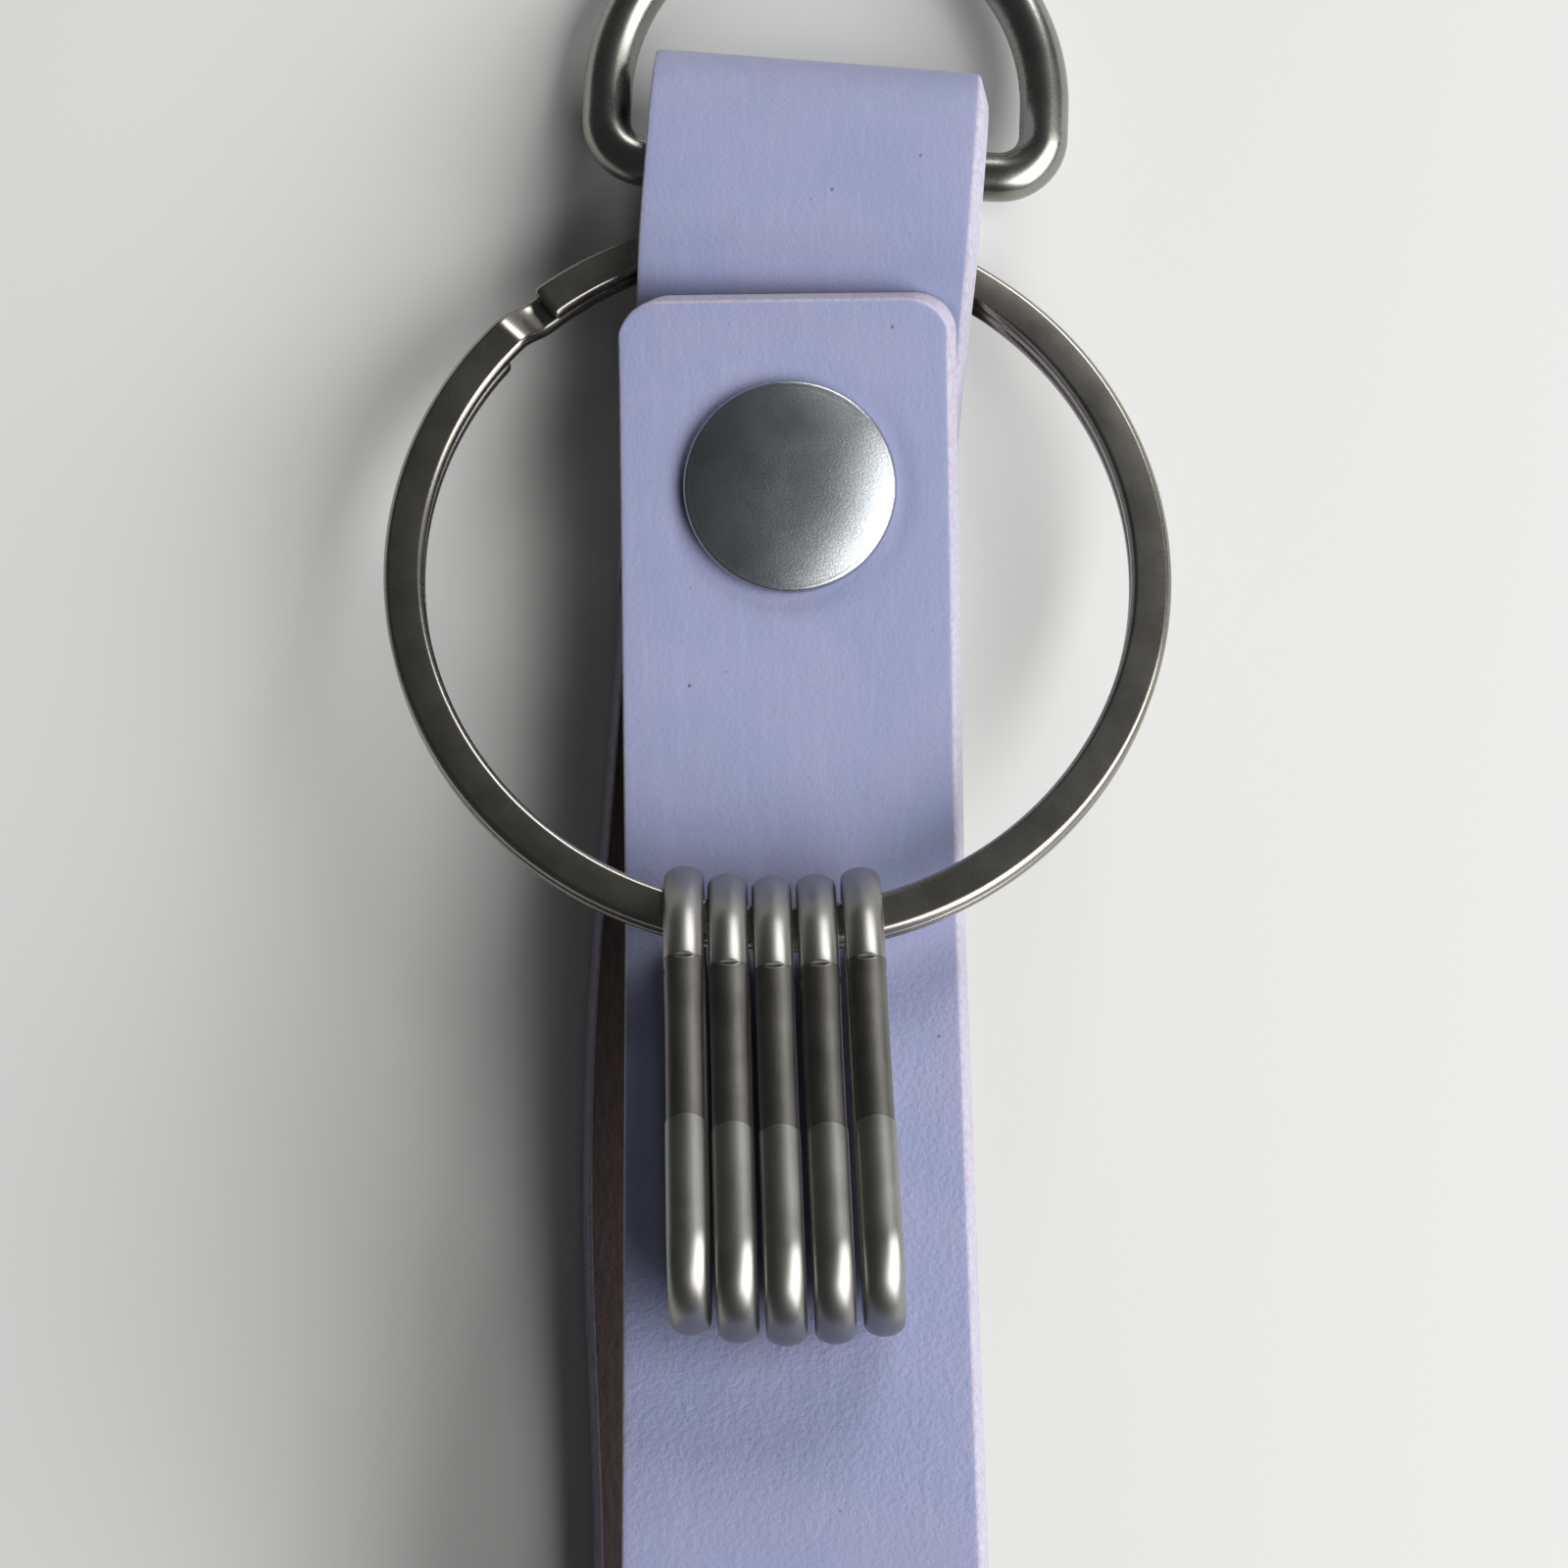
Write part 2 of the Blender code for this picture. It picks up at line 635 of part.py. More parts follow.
pin_bore = rod(
    "pin_bore", GATE_PIN_DIAMETER / 2 + 0.06, 2 * LINK_WIRE_WIDTH, (0, -pin_place, bar_height - 0.08),
    along_x=True, sides=10, helper=True,
)
combine(body_draft, tongue, "UNION")
combine(body_draft, tongue_toe, "UNION")
combine(body_draft, nose_pocket, "DIFFERENCE")
combine(body_draft, pin_bore, "DIFFERENCE")
for cutter in (lip_step, spring_slot, pin_bore):
    combine(gate_draft, cutter, "DIFFERENCE")

bpy.context.view_layer.update()
graph = bpy.context.evaluated_depsgraph_get()
body_mesh = bpy.data.meshes.new_from_object(body_draft.evaluated_get(graph))
gate_mesh = bpy.data.meshes.new_from_object(gate_draft.evaluated_get(graph))
pin_mesh = rod(
    "pin_draft", GATE_PIN_DIAMETER / 2, LINK_WIRE_WIDTH - GATE_SHRINK - 0.5, (0, -pin_place, bar_height - 0.08),
    along_x=True, sides=10, helper=True,
).data

spring_low = bar_height - half_depth + GATE_SPRING_WIRE
spring_high = bar_height + half_depth - GATE_ROOF - GATE_SPRING_WIRE / 2 - 0.12
spring_start = pin_place + 1.1
spring_points = [
    (0, -spring_start, spring_low + 0.25),
    (0, -(spring_start + 0.4), spring_low),
    (0, -(spring_start + 1.3), spring_high - 0.1),
    (0, -(GATE_START + GATE_SLOT_LENGTH - 0.35), spring_high),
]


def make_link(number):
    """One link: its pivot on the ring's wire, then body, gate, gate pin and gate spring."""
    order = number - (LINK_COUNT + 1) / 2
    place = ring_point(LINK_MIDDLE_X + order * LINK_PITCH, ring_tilt)
    lift = link_lift(place)
    name = f"link_{number}"
    swing = pivot(f"{name}_pivot", place, (-RAMP_ANGLE, 0, LINK_YAW + order * LINK_FAN))
    spring = wire(f"{name}_spring", spring_points, radius=GATE_SPRING_WIRE / 2, finish=SPRING_STEEL, parent=swing)
    pieces = [
        add(f"{name}_body", body_mesh, finish=SATIN_NICKEL, parent=swing),
        add(f"{name}_gate", gate_mesh, finish=SATIN_NICKEL, parent=swing),
        add(f"{name}_pin", pin_mesh, finish=SPRING_STEEL, parent=swing),
        spring,
    ]
    for piece in pieces:
        piece.location.z = lift * MM


for number in range(1, LINK_COUNT + 1):
    make_link(number)

for draft in (body_draft, gate_draft):
    bpy.data.objects.remove(draft)
for made in holder.objects:
    if made.type == "MESH" and made.data.polygons:
        smooth(made)
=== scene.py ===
import json
import math

import bmesh
import bpy
import numpy as np
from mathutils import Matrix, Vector

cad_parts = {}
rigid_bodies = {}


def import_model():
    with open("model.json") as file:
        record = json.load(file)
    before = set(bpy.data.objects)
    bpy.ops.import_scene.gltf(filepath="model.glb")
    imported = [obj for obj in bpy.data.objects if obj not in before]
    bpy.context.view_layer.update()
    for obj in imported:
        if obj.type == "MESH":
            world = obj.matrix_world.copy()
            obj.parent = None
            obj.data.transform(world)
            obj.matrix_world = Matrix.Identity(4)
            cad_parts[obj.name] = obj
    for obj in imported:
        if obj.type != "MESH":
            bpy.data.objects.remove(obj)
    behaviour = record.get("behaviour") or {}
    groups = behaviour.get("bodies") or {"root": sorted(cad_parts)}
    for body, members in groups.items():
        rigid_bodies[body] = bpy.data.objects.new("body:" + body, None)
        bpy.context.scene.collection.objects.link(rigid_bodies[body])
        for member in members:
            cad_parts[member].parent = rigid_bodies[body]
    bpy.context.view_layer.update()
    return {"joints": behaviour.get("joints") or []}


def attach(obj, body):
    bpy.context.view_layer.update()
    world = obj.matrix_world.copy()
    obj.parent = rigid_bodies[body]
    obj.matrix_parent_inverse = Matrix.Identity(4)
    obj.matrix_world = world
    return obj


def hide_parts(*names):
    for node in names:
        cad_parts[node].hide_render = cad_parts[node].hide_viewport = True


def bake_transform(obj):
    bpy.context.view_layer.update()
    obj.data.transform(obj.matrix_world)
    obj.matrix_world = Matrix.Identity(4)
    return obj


for left in list(bpy.data.objects):
    bpy.data.objects.remove(left)
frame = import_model()
jointOf = {joint["name"]: joint for joint in frame["joints"]}
mm = 0.001      # every shape below is worked out in millimetres
print("frame loaded")


# shared shape helpers

def ease(t):
    # half a cosine wave: 0 to 1, level at both ends
    return (1 - np.cos(np.pi * np.clip(t, 0, 1))) / 2


def unit(v):
    # each vector over its own length
    return v / np.linalg.norm(v, axis=-1, keepdims=True)


def everywhere(vector, path):
    # one vector, repeated for every point of the path
    return np.broadcast_to(np.array(vector, float), path.shape)


def lengthAlong(path):
    # the running sum of the distances from point to point
    return np.concatenate([[0], np.cumsum(np.linalg.norm(np.diff(path, axis=0), axis=1))])


def evenly(path, spacing):
    # the same line, with its points at one spacing along its length
    along = lengthAlong(path)
    count = max(2, int(round(along[-1] / spacing)) + 1)
    wanted = np.linspace(0, along[-1], count)
    return np.stack([np.interp(wanted, along, path[:, k]) for k in range(path.shape[1])], 1)


def arc(centre, radius, first, last, count):
    # centre plus radius times (cosine, sine) of an angle that goes from first to last, in degrees
    a = np.radians(np.linspace(first, last, count))
    return np.stack([centre[0] + radius * np.cos(a), centre[1] + radius * np.sin(a)], 1)


def filleted(corners, radius, steps=5, closed=False):
    # each corner becomes the curve (1-t)^2 A + 2t(1-t) corner + t^2 B, with A and B a radius away along its
    # two sides, or nearly half a side where the side is short
    corners = np.array(corners, float)
    before, after = np.roll(corners, 1, 0), np.roll(corners, -1, 0)
    reachA = np.minimum(radius, 0.45 * np.linalg.norm(before - corners, axis=1, keepdims=True))
    reachB = np.minimum(radius, 0.45 * np.linalg.norm(after - corners, axis=1, keepdims=True))
    a = corners + unit(before - corners) * reachA
    b = corners + unit(after - corners) * reachB
    t = np.linspace(0, 1, steps)[None, :, None]
    curve = (1 - t) ** 2 * a[:, None] + 2 * t * (1 - t) * corners[:, None] + t ** 2 * b[:, None]
    if closed:
        return curve.reshape(-1, 2)
    return np.concatenate([corners[:1], curve[1:-1].reshape(-1, 2), corners[-1:]])


def ellipseSection(width, depth, count):
    # half the width times the cosine, half the depth times the sine
    a = np.linspace(0, 2 * np.pi, count, endpoint=False)
    return np.stack([width / 2 * np.cos(a), depth / 2 * np.sin(a)], 1)


def carried(path, side, up, section):
    # path point + section's first number along side + section's second number along up
    section = np.broadcast_to(section, (len(path),) + section.shape[-2:])
    return path[:, None] + section[..., :1] * side[:, None] + section[..., 1:] * up[:, None]


def quadsOf(rows, cols, wrapRows, wrapCols):
    # four neighbouring grid points to a face; a wrapped direction joins its last line to its first
    index = np.arange(rows * cols).reshape(rows, cols)
    if wrapRows:
        index = np.vstack([index, index[:1]])
    if wrapCols:
        index = np.hstack([index, index[:, :1]])
    return np.stack([index[:-1, :-1], index[:-1, 1:], index[1:, 1:], index[1:, :-1]], -1).reshape(-1, 4)


def signedVolume(points, faces):
    # a sixth of the sum of corner . (corner x corner) over each face's fan of triangles
    total = 0.0
    for shape in faces:
        corner = points[shape]
        for k in range(1, shape.shape[1] - 1):
            total += np.einsum("ij,ij->", corner[:, 0], np.cross(corner[:, k], corner[:, k + 1]))
    return total / 6


def added(name, data):
    # a new object for this mesh, lamp or camera, put in the scene
    made = bpy.data.objects.new(name, data)
    bpy.context.scene.collection.objects.link(made)
    return made


def finishShading(mesh, sharpAngle):
    # smooth, except where two faces turn by more than sharpAngle degrees
    mesh.shade_smooth()
    mesh.set_sharp_from_angle(angle=math.radians(sharpAngle))


def gridSolid(name, grid, material, wrapRows=False, wrapCols=True, endFaces=None, values=None,
              sharpAngle=38):
    # a closed body from a grid of points: quads between the rows, and a flat face or endFaces' quads at its
    # two ends
    rows, cols = grid.shape[:2]
    points = grid.reshape(-1, 3)
    faces = [quadsOf(rows, cols, wrapRows, wrapCols)]
    if endFaces is not None:
        faces += [endFaces[:, ::-1], endFaces + (rows - 1) * cols]
    elif wrapCols and not wrapRows:
        ring = np.arange(cols)[None]
        faces += [ring[:, ::-1], ring + (rows - 1) * cols]
    if signedVolume(points, faces) < 0:
        faces = [shape[:, ::-1] for shape in faces]
    mesh = bpy.data.meshes.new(name)
    mesh.from_pydata((points * mm).tolist(), [], [face for shape in faces for face in shape.tolist()])
    for key, value in (values or {}).items():
        attribute = mesh.attributes.new(key, "FLOAT", "POINT")
        attribute.data.foreach_set("value", np.broadcast_to(value, (rows, cols)).astype(np.float32).ravel())
    if not wrapCols:
        weld(mesh)
    finishShading(mesh, sharpAngle)
    mesh.materials.append(material)
    return added(name, mesh)


def weld(mesh, distance=1e-7):
    # merges the points that fall together, then turns every face outwards
    work = bmesh.new()
    work.from_mesh(mesh)
    bmesh.ops.remove_doubles(work, verts=work.verts, dist=distance)
    bmesh.ops.recalc_face_normals(work, faces=work.faces)
    work.to_mesh(mesh)
    work.free()


def turnedSolid(name, profile, material, sides=96, centre=(0, 0)):
    # a profile of (radius, height) swept round the upright line through centre; one that starts and ends on
    # that line closes there, and any other closes on itself
    profile = np.array(profile, float)
    onAxis = profile[0, 0] == 0 and profile[-1, 0] == 0
    a = np.linspace(0, 2 * np.pi, sides, endpoint=False)[:, None]
    grid = np.stack([
        centre[0] + profile[:, 0] * np.cos(a),
        centre[1] + profile[:, 0] * np.sin(a),
        np.broadcast_to(profile[:, 1], (sides, len(profile))),
    ], -1)
    return gridSolid(name, grid, material, wrapRows=True, wrapCols=not onAxis)


def cut(target, tools, operation="DIFFERENCE", sharpAngle=38):
    # takes each tool out of the target, or adds it, and keeps the result as the target's own mesh
    for tool in tools:
        step = target.modifiers.new("cut", "BOOLEAN")
        step.operation = operation
        step.solver = "EXACT"
        step.object = tool
    graph = bpy.context.evaluated_depsgraph_get()
    result = bpy.data.meshes.new_from_object(
        target.evaluated_get(graph), preserve_all_data_layers=True, depsgraph=graph)
    target.modifiers.clear()
    target.data = result
    finishShading(result, sharpAngle)
    for tool in tools:
        bpy.data.objects.remove(tool)


def blockTool(low, high):
    # the six faces between two corners, as a grid of four points carried from one end to the other
    (x0, y0, z0), (x1, y1, z1) = low, high
    ring = np.array([(x0, z0), (x1, z0), (x1, z1), (x0, z1)], float)
    grid = np.array([[(x, y, z) for x, z in ring] for y in (y0, y1)], float)
    return gridSolid("block", grid, None)


def pinTool(radius, fromX, toX, y, z, count=40):
    # a round bar along X between two places
    ring = arc((y, z), radius, 0, 360 - 360 / count, count)
    grid = np.stack([np.column_stack([np.full(count, x), ring]) for x in (fromX, toX)])
    return gridSolid("pinTool", grid, None)


# materials

def blankMaterial(name):
    # a new material, its node tree and its main shader
    made = bpy.data.materials.new(name)
    made.use_nodes = True
    tree = made.node_tree
    return made, tree, tree.nodes["Principled BSDF"]


def addNode(tree, kind, **settings):
    # a node with these input values and settings
    node = tree.nodes.new(kind)
    for key, value in settings.items():
        if key in node.inputs:
            node.inputs[key].default_value = value
        else:
            setattr(node, key, value)
    return node


def objectPoint(tree, scale=(1, 1, 1)):
    # object coordinates in millimetres, stretched by scale
    place = addNode(tree, "ShaderNodeTexCoord")
    mapping = addNode(tree, "ShaderNodeMapping", Scale=[1000 * s for s in scale])
    tree.links.new(place.outputs["Object"], mapping.inputs["Vector"])
    return mapping.outputs["Vector"]


def noiseOf(tree, point, perMm, detail=3.0, rough=0.55):
    # soft noise with perMm waves to the millimetre
    node = addNode(tree, "ShaderNodeTexNoise", Scale=perMm, Detail=detail, Roughness=rough)
    tree.links.new(point, node.inputs["Vector"])
    return node.outputs["Fac"]


def cellsOf(tree, point, perMm):
    # the distance to the nearest of scattered points, perMm of them to the millimetre
    node = addNode(tree, "ShaderNodeTexVoronoi", Scale=perMm)
    tree.links.new(point, node.inputs["Vector"])
    return node.outputs["Distance"]


def remap(tree, value, low, high, toLow=0.0, toHigh=1.0, smooth=False):
    # low to high stretched to toLow to toHigh, straight or as a smooth step, and held at its two ends
    node = tree.nodes.new("ShaderNodeMapRange")
    node.interpolation_type = "SMOOTHSTEP" if smooth else "LINEAR"
    tree.links.new(value, node.inputs["Value"])
    for key, number in zip(("From Min", "From Max", "To Min", "To Max"), (low, high, toLow, toHigh)):
        node.inputs[key].default_value = number
    return node.outputs["Result"]


def mathOf(tree, operation, a, b):
    # one step of arithmetic on two values, each a number or a socket
    node = tree.nodes.new("ShaderNodeMath")
    node.operation = operation
    for socket, value in zip(node.inputs, (a, b)):
        if isinstance(value, (int, float)):
            socket.default_value = value
        else:
            tree.links.new(value, socket)
    return node.outputs["Value"]


def mixColour(tree, share, a, b):
    # a where share is 0, b where it is 1, and in proportion between
    node = tree.nodes.new("ShaderNodeMix")
    node.data_type = "RGBA"
    tree.links.new(share, node.inputs["Factor"])
    for socket, value in zip((node.inputs[6], node.inputs[7]), (a, b)):
        if isinstance(value, tuple):
            socket.default_value = (*value, 1)
        else:
            tree.links.new(value, socket)
    return node.outputs[2]


def bumpOf(tree, height, strength, depthMm, after=None):
    # leans the normal by the slope of the height, which is depthMm from its lowest to its highest
    node = addNode(tree, "ShaderNodeBump", Strength=strength, Distance=depthMm * mm)
    tree.links.new(height, node.inputs["Height"])
    if after is not None:
        tree.links.new(after, node.inputs["Normal"])
    return node.outputs["Normal"]


def attributeOf(tree, name):
    # a value that the piece's own mesh carries
    return addNode(tree, "ShaderNodeAttribute", attribute_name=name).outputs["Fac"]


leatherLook = {
    # the third grain colour, laid in paler lengthwise streaks, is painted sheen for light caught along the
    # grain's faint ridges
    "grain": (0.262, 0.290, 0.457), "grainWarm": (0.290, 0.300, 0.466), "grainSheenStreak": (0.325, 0.355, 0.52),
    "edge": (0.45, 0.45, 0.555), "edgeDark": (0.35, 0.31, 0.38),
    # the two flesh colours are painted shade: dark brown in place of the flesh side's own pinkish beige
    "shadedFlesh": (0.070, 0.046, 0.044), "shadedFleshPale": (0.115, 0.082, 0.080), "speck": (0.07, 0.07, 0.10),
    "roughness": (0.46, 0.60), "dullSides": 0.3, "sheen": 0.12, "sheenRoughness": 0.5, "specular": 0.42,
    "pebbleScale": 3.0, "fineScale": 5.0, "creaseScale": 1.5,       # waves to the millimetre
    "bumps": {"pebble": (0.7, 0.085), "fine": (0.6, 0.035), "crease": (0.22, 0.05)},    # strength, depth in mm
}


def leatherFinish():
    # grain side, raw cut edge and flesh side, picked by the strap's cutEdge and fleshSide values; the flesh
    # side's dark brown is painted shade in place of its own pinkish beige
    look = leatherLook
    made, tree, shader = blankMaterial("lavenderLeather")
    point = objectPoint(tree)
    lengthwise = objectPoint(tree, (1.0, 0.16, 0.16))
    cloud = remap(tree, noiseOf(tree, point, 0.16, 2), 0.35, 0.65, smooth=True)
    grain = mixColour(tree, cloud, look["grain"], look["grainWarm"])
    # painted sheen: paler lengthwise streaks where light would catch the grain's faint ridges
    streak = remap(tree, noiseOf(tree, lengthwise, 1.6, 3), 0.52, 0.74, 0, 0.30, smooth=True)
    grain = mixColour(tree, streak, grain, look["grainSheenStreak"])
    sparse = remap(tree, noiseOf(tree, point, 0.3, 1), 0.4, 0.6, 0.10, 0)
    scattered = mathOf(tree, "ADD", cellsOf(tree, point, 0.55), sparse)
    speckShare = remap(tree, scattered, 0.03, 0.075, 0.8, 0)
    grain = mixColour(tree, speckShare, grain, look["speck"])
    pale = remap(tree, noiseOf(tree, point, 2.6, 5, 0.7), 0.35, 0.7)
    edge = mixColour(tree, pale, look["edgeDark"], look["edge"])
    # painted shade: the flesh side gets dark brown fibres, not its own pinkish beige
    fibre = remap(tree, noiseOf(tree, lengthwise, 3.2, 5, 0.7), 0.35, 0.7)
    shadedFlesh = mixColour(tree, fibre, look["shadedFlesh"], look["shadedFleshPale"])
    isEdge, isFlesh = attributeOf(tree, "cutEdge"), attributeOf(tree, "fleshSide")
    colour = mixColour(tree, isEdge, mixColour(tree, isFlesh, grain, shadedFlesh), edge)
    tree.links.new(colour, shader.inputs["Base Color"])
    roughness = remap(tree, noiseOf(tree, point, 0.9, 3), 0.3, 0.7, *look["roughness"])
    dull = mathOf(tree, "MULTIPLY", mathOf(tree, "MAXIMUM", isEdge, isFlesh), look["dullSides"])
    tree.links.new(mathOf(tree, "ADD", roughness, dull), shader.inputs["Roughness"])
    pebble = noiseOf(tree, point, look["pebbleScale"], 2, 0.55)
    heights = {
        "pebble": mathOf(tree, "MULTIPLY", pebble, attributeOf(tree, "flexed")),
        "fine": noiseOf(tree, point, look["fineScale"], 4, 0.65),
        "crease": noiseOf(tree, lengthwise, look["creaseScale"], 2),
    }
    normal = None
    for layer, (strength, depth) in look["bumps"].items():
        normal = bumpOf(tree, heights[layer], strength, depth, normal)
    tree.links.new(normal, shader.inputs["Normal"])
    shader.inputs["Sheen Weight"].default_value = look["sheen"]
    shader.inputs["Sheen Roughness"].default_value = look["sheenRoughness"]
    shader.inputs["Specular IOR Level"].default_value = look["specular"]
    return made


def metalFinish(name, colour, worn, roughness, spread, along, grainDepth):
    # a nickel-like plating: its gloss varies in soft clouds and fine lines, with a faint brushed bump
    made, tree, shader = blankMaterial(name)
    point = objectPoint(tree)
    stretched = objectPoint(tree, along)
    cloud = remap(tree, noiseOf(tree, point, 0.35, 4), 0.3, 0.7, smooth=True)
    lines = remap(tree, noiseOf(tree, stretched, 7.0, 4, 0.7), 0.3, 0.7)
    tree.links.new(mixColour(tree, cloud, colour, worn), shader.inputs["Base Color"])
    mixed = mathOf(tree, "MULTIPLY", mathOf(tree, "ADD", cloud, lines), 0.5)
    tree.links.new(remap(tree, mixed, 0, 1, roughness, roughness + spread), shader.inputs["Roughness"])
    tree.links.new(bumpOf(tree, lines, 0.25, grainDepth), shader.inputs["Normal"])
    shader.inputs["Metallic"].default_value = 1.0
    return made


metalLook = {
    # colour, worn colour, roughness, how far it rises, stretch of the fine lines, their depth in mm
    "darkNickel": ((0.285, 0.272, 0.238), (0.315, 0.302, 0.266), 0.25, 0.05, (1, 1, 1), 0.0015),
    "satinNickel": ((0.30, 0.294, 0.27), (0.34, 0.333, 0.305), 0.24, 0.06, (1, 1, 1), 0.002),
    "linkNickel": ((0.295, 0.29, 0.27), (0.325, 0.318, 0.295), 0.33, 0.06, (1, 0.12, 0.12), 0.004),
    # the gate's plating is darker than the body's: partly its own duller, grained finish, partly painted shade
    # for the shade its shape gets
    "shadedGateNickel": ((0.160, 0.153, 0.137), (0.190, 0.182, 0.165), 0.34, 0.07, (1, 0.10, 0.10), 0.012),
    "snapMetal": ((0.40, 0.425, 0.44), (0.44, 0.46, 0.48), 0.29, 0.05, (1, 1, 1), 0.020),
    "springSteel": ((0.50, 0.50, 0.49), (0.60, 0.60, 0.58), 0.24, 0.10, (1, 1, 1), 0.004),
}

leather = leatherFinish()
darkNickel, satinNickel, linkNickel, shadedGateNickel, snapMetal, springSteel = [
    metalFinish(name, *look) for name, look in metalLook.items()]
print("materials made")


# leather strap: one strip, folded back into a small loop, carried under and round into a large loop, and
# brought up its own front as a ramp that ends in the snapped flap

strap = {
    "width": 19.0, "thickness": 2.0, "cornerRadius": 2.5, "edgeRound": 0.22, "spacing": 0.5, "endSlant": 0.05,
    "capDent": 0.10, "capRadius": 6.1,
    "slantCut": 0.55,           # the knife leaned, so the flesh side stands out this far to the right
    "loopSlant": 0.70,          # and further where the small loop is rolled a little
    "innerPly": 3.2, "loopTop": 10.0, "backPly": 1.0, "flapLevel": 9.1,     # middle heights
    "innerEnd": -8.0, "slopeStart": 5.2, "riseEnd": 16.0, "foldAt": 20.2,
    "bightRadius": 12.0, "rampAngle": 21.5, "rampFoot": -25.2, "footRadius": 13.0,
    "flapTip": 11.0, "tipLift": 1.2,
    "loopLean": 4.5, "bightLean": 1.6, "frontLean": -0.8,
    "hingeY": jointOf["flap_bend"]["pos_m"][1] / mm, "bendReach": 7.5,
    "sideBand": 2.8,            # the columns stand closer together this far in from each side
    "closeZone": 3.4,           # and the rows this far in from a rounded end
    "sideCrown": 0.05, "dentReach": 0.3, "dentSpread": 0.7,
    "loopFrom": 8, "loopRun": 6, "loopAbove": 5,        # where the small loop's extra slant comes in
    "joinUpRamp": 4,            # the two meshes meet this far up the ramp from the bight
    "postHole": 1.75, "flangeSeat": 4.9, "flangeDepth": 0.72, "rivetHole": 1.7,
    "flexedAll": 0.32, "flexedRamp": 0.65,      # how pebbled the grain is, and how much more on the ramp
    "flexedFrom": -20, "flexedRise": 14, "flexedTo": -62, "flexedFall": 8,
}


def run(y0, y1, z, count):
    # a level line of (y, z) from y0 to y1
    return np.stack([np.linspace(y0, y1, count), np.full(count, z)], 1)


def strapRoute():
    # rows of (y, z, lean): straight runs, one eased rise, and arcs in the upright plane along the strap
    s = strap
    slope = math.radians(s["rampAngle"])
    foldRadius = (s["loopTop"] - s["backPly"]) / 2
    bightZ = s["backPly"] + s["bightRadius"]
    leaveZ = bightZ + s["bightRadius"] * math.cos(slope)
    leaveY = s["rampFoot"] - (leaveZ - s["flapLevel"]) / math.tan(slope)
    bightY = leaveY - s["bightRadius"] * math.sin(slope)
    tangent = s["footRadius"] * math.tan(slope / 2)
    riseY = np.linspace(s["slopeStart"], s["riseEnd"], 80)
    riseZ = s["innerPly"] + (s["loopTop"] - s["innerPly"]) * ease(
        (riseY - s["slopeStart"]) / (s["riseEnd"] - s["slopeStart"]))
    flapY = np.linspace(s["slopeStart"], s["flapTip"], 40)
    flapZ = s["flapLevel"] + 2 * s["tipLift"] * ease(
        (flapY - s["slopeStart"]) / (s["flapTip"] - s["slopeStart"]) / 2)
    parts = [
        (run(s["innerEnd"], s["slopeStart"], s["innerPly"], 40), 0, 0),
        (np.stack([riseY, riseZ], 1), 0, 0),
        (run(s["riseEnd"], s["foldAt"], s["loopTop"], 20), 0, 0),
        (arc((s["foldAt"], s["backPly"] + foldRadius), foldRadius, 90, -90, 120), 0, 0),
        (run(s["foldAt"], bightY, s["backPly"], 200), 0, 1),
        (arc((bightY, bightZ), s["bightRadius"], -90, -270 - s["rampAngle"], 240), 1, 2),
        (np.stack([np.linspace(leaveY, s["rampFoot"] - tangent * math.cos(slope), 120),
                   np.linspace(leaveZ, s["flapLevel"] + tangent * math.sin(slope), 120)], 1), 2, 2),
        (arc((s["rampFoot"] + tangent, s["flapLevel"] + s["footRadius"]), s["footRadius"],
             -90 - s["rampAngle"], -90, 60), 2, 2),
        (run(s["rampFoot"] + tangent, s["slopeStart"], s["flapLevel"], 120), 2, 2),
        (np.stack([flapY, flapZ], 1), 2, 2),
    ]
    leans = (s["loopLean"], s["bightLean"], s["frontLean"])
    rows = []
    for points, first, last in parts:
        t = np.linspace(0, 1, len(points))
        underRun = ease((s["rampFoot"] - points[:, 0]) / (s["rampFoot"] - bightY))
        share = underRun if (first, last) == (0, 1) else t
        lean = leans[first] + (leans[last] - leans[first]) * share
        rows.append(np.column_stack([points, lean])[:-1 if last < 2 or first < 2 else None])
    return evenly(np.concatenate(rows), s["spacing"]), leaveY


def strapSection():
    # upper half of a rectangle with round corners, from the left side to the right, then the same below
    s = strap
    half, deep, r = s["width"] / 2, s["thickness"] / 2, s["edgeRound"]
    outer, band = half - r, s["sideBand"]
    acrossTop = np.concatenate([
        np.linspace(-outer, band - outer, 15), np.linspace(band - outer, outer - band, 24)[1:-1],
        np.linspace(outer - band, outer, 15)])
    top = np.stack([acrossTop, np.full(len(acrossTop), deep)], 1)
    left = np.concatenate([[(-half, 0.25)], arc((r - half, deep - r), r, 180, 90, 6)[:-1]])
    right = left[::-1] * (-1, 1)
    upper = np.concatenate([left, top, right])
    raw = np.concatenate([np.ones(6), np.zeros(len(top)), np.ones(6)])
    # the lower half is the flesh side, which the leather colours with painted shade
    shadedFlesh = np.zeros(len(upper))
    section = np.concatenate([upper, upper[::-1] * (1, -1)])
    raw = np.concatenate([raw, raw[::-1]])
    shadedFlesh = np.concatenate([shadedFlesh, np.ones(len(upper))])
    across = np.arange(len(upper) - 1)
    below = 2 * len(upper) - 1 - across
    return section, raw, shadedFlesh, np.stack([across, across + 1, below - 1, below], 1)


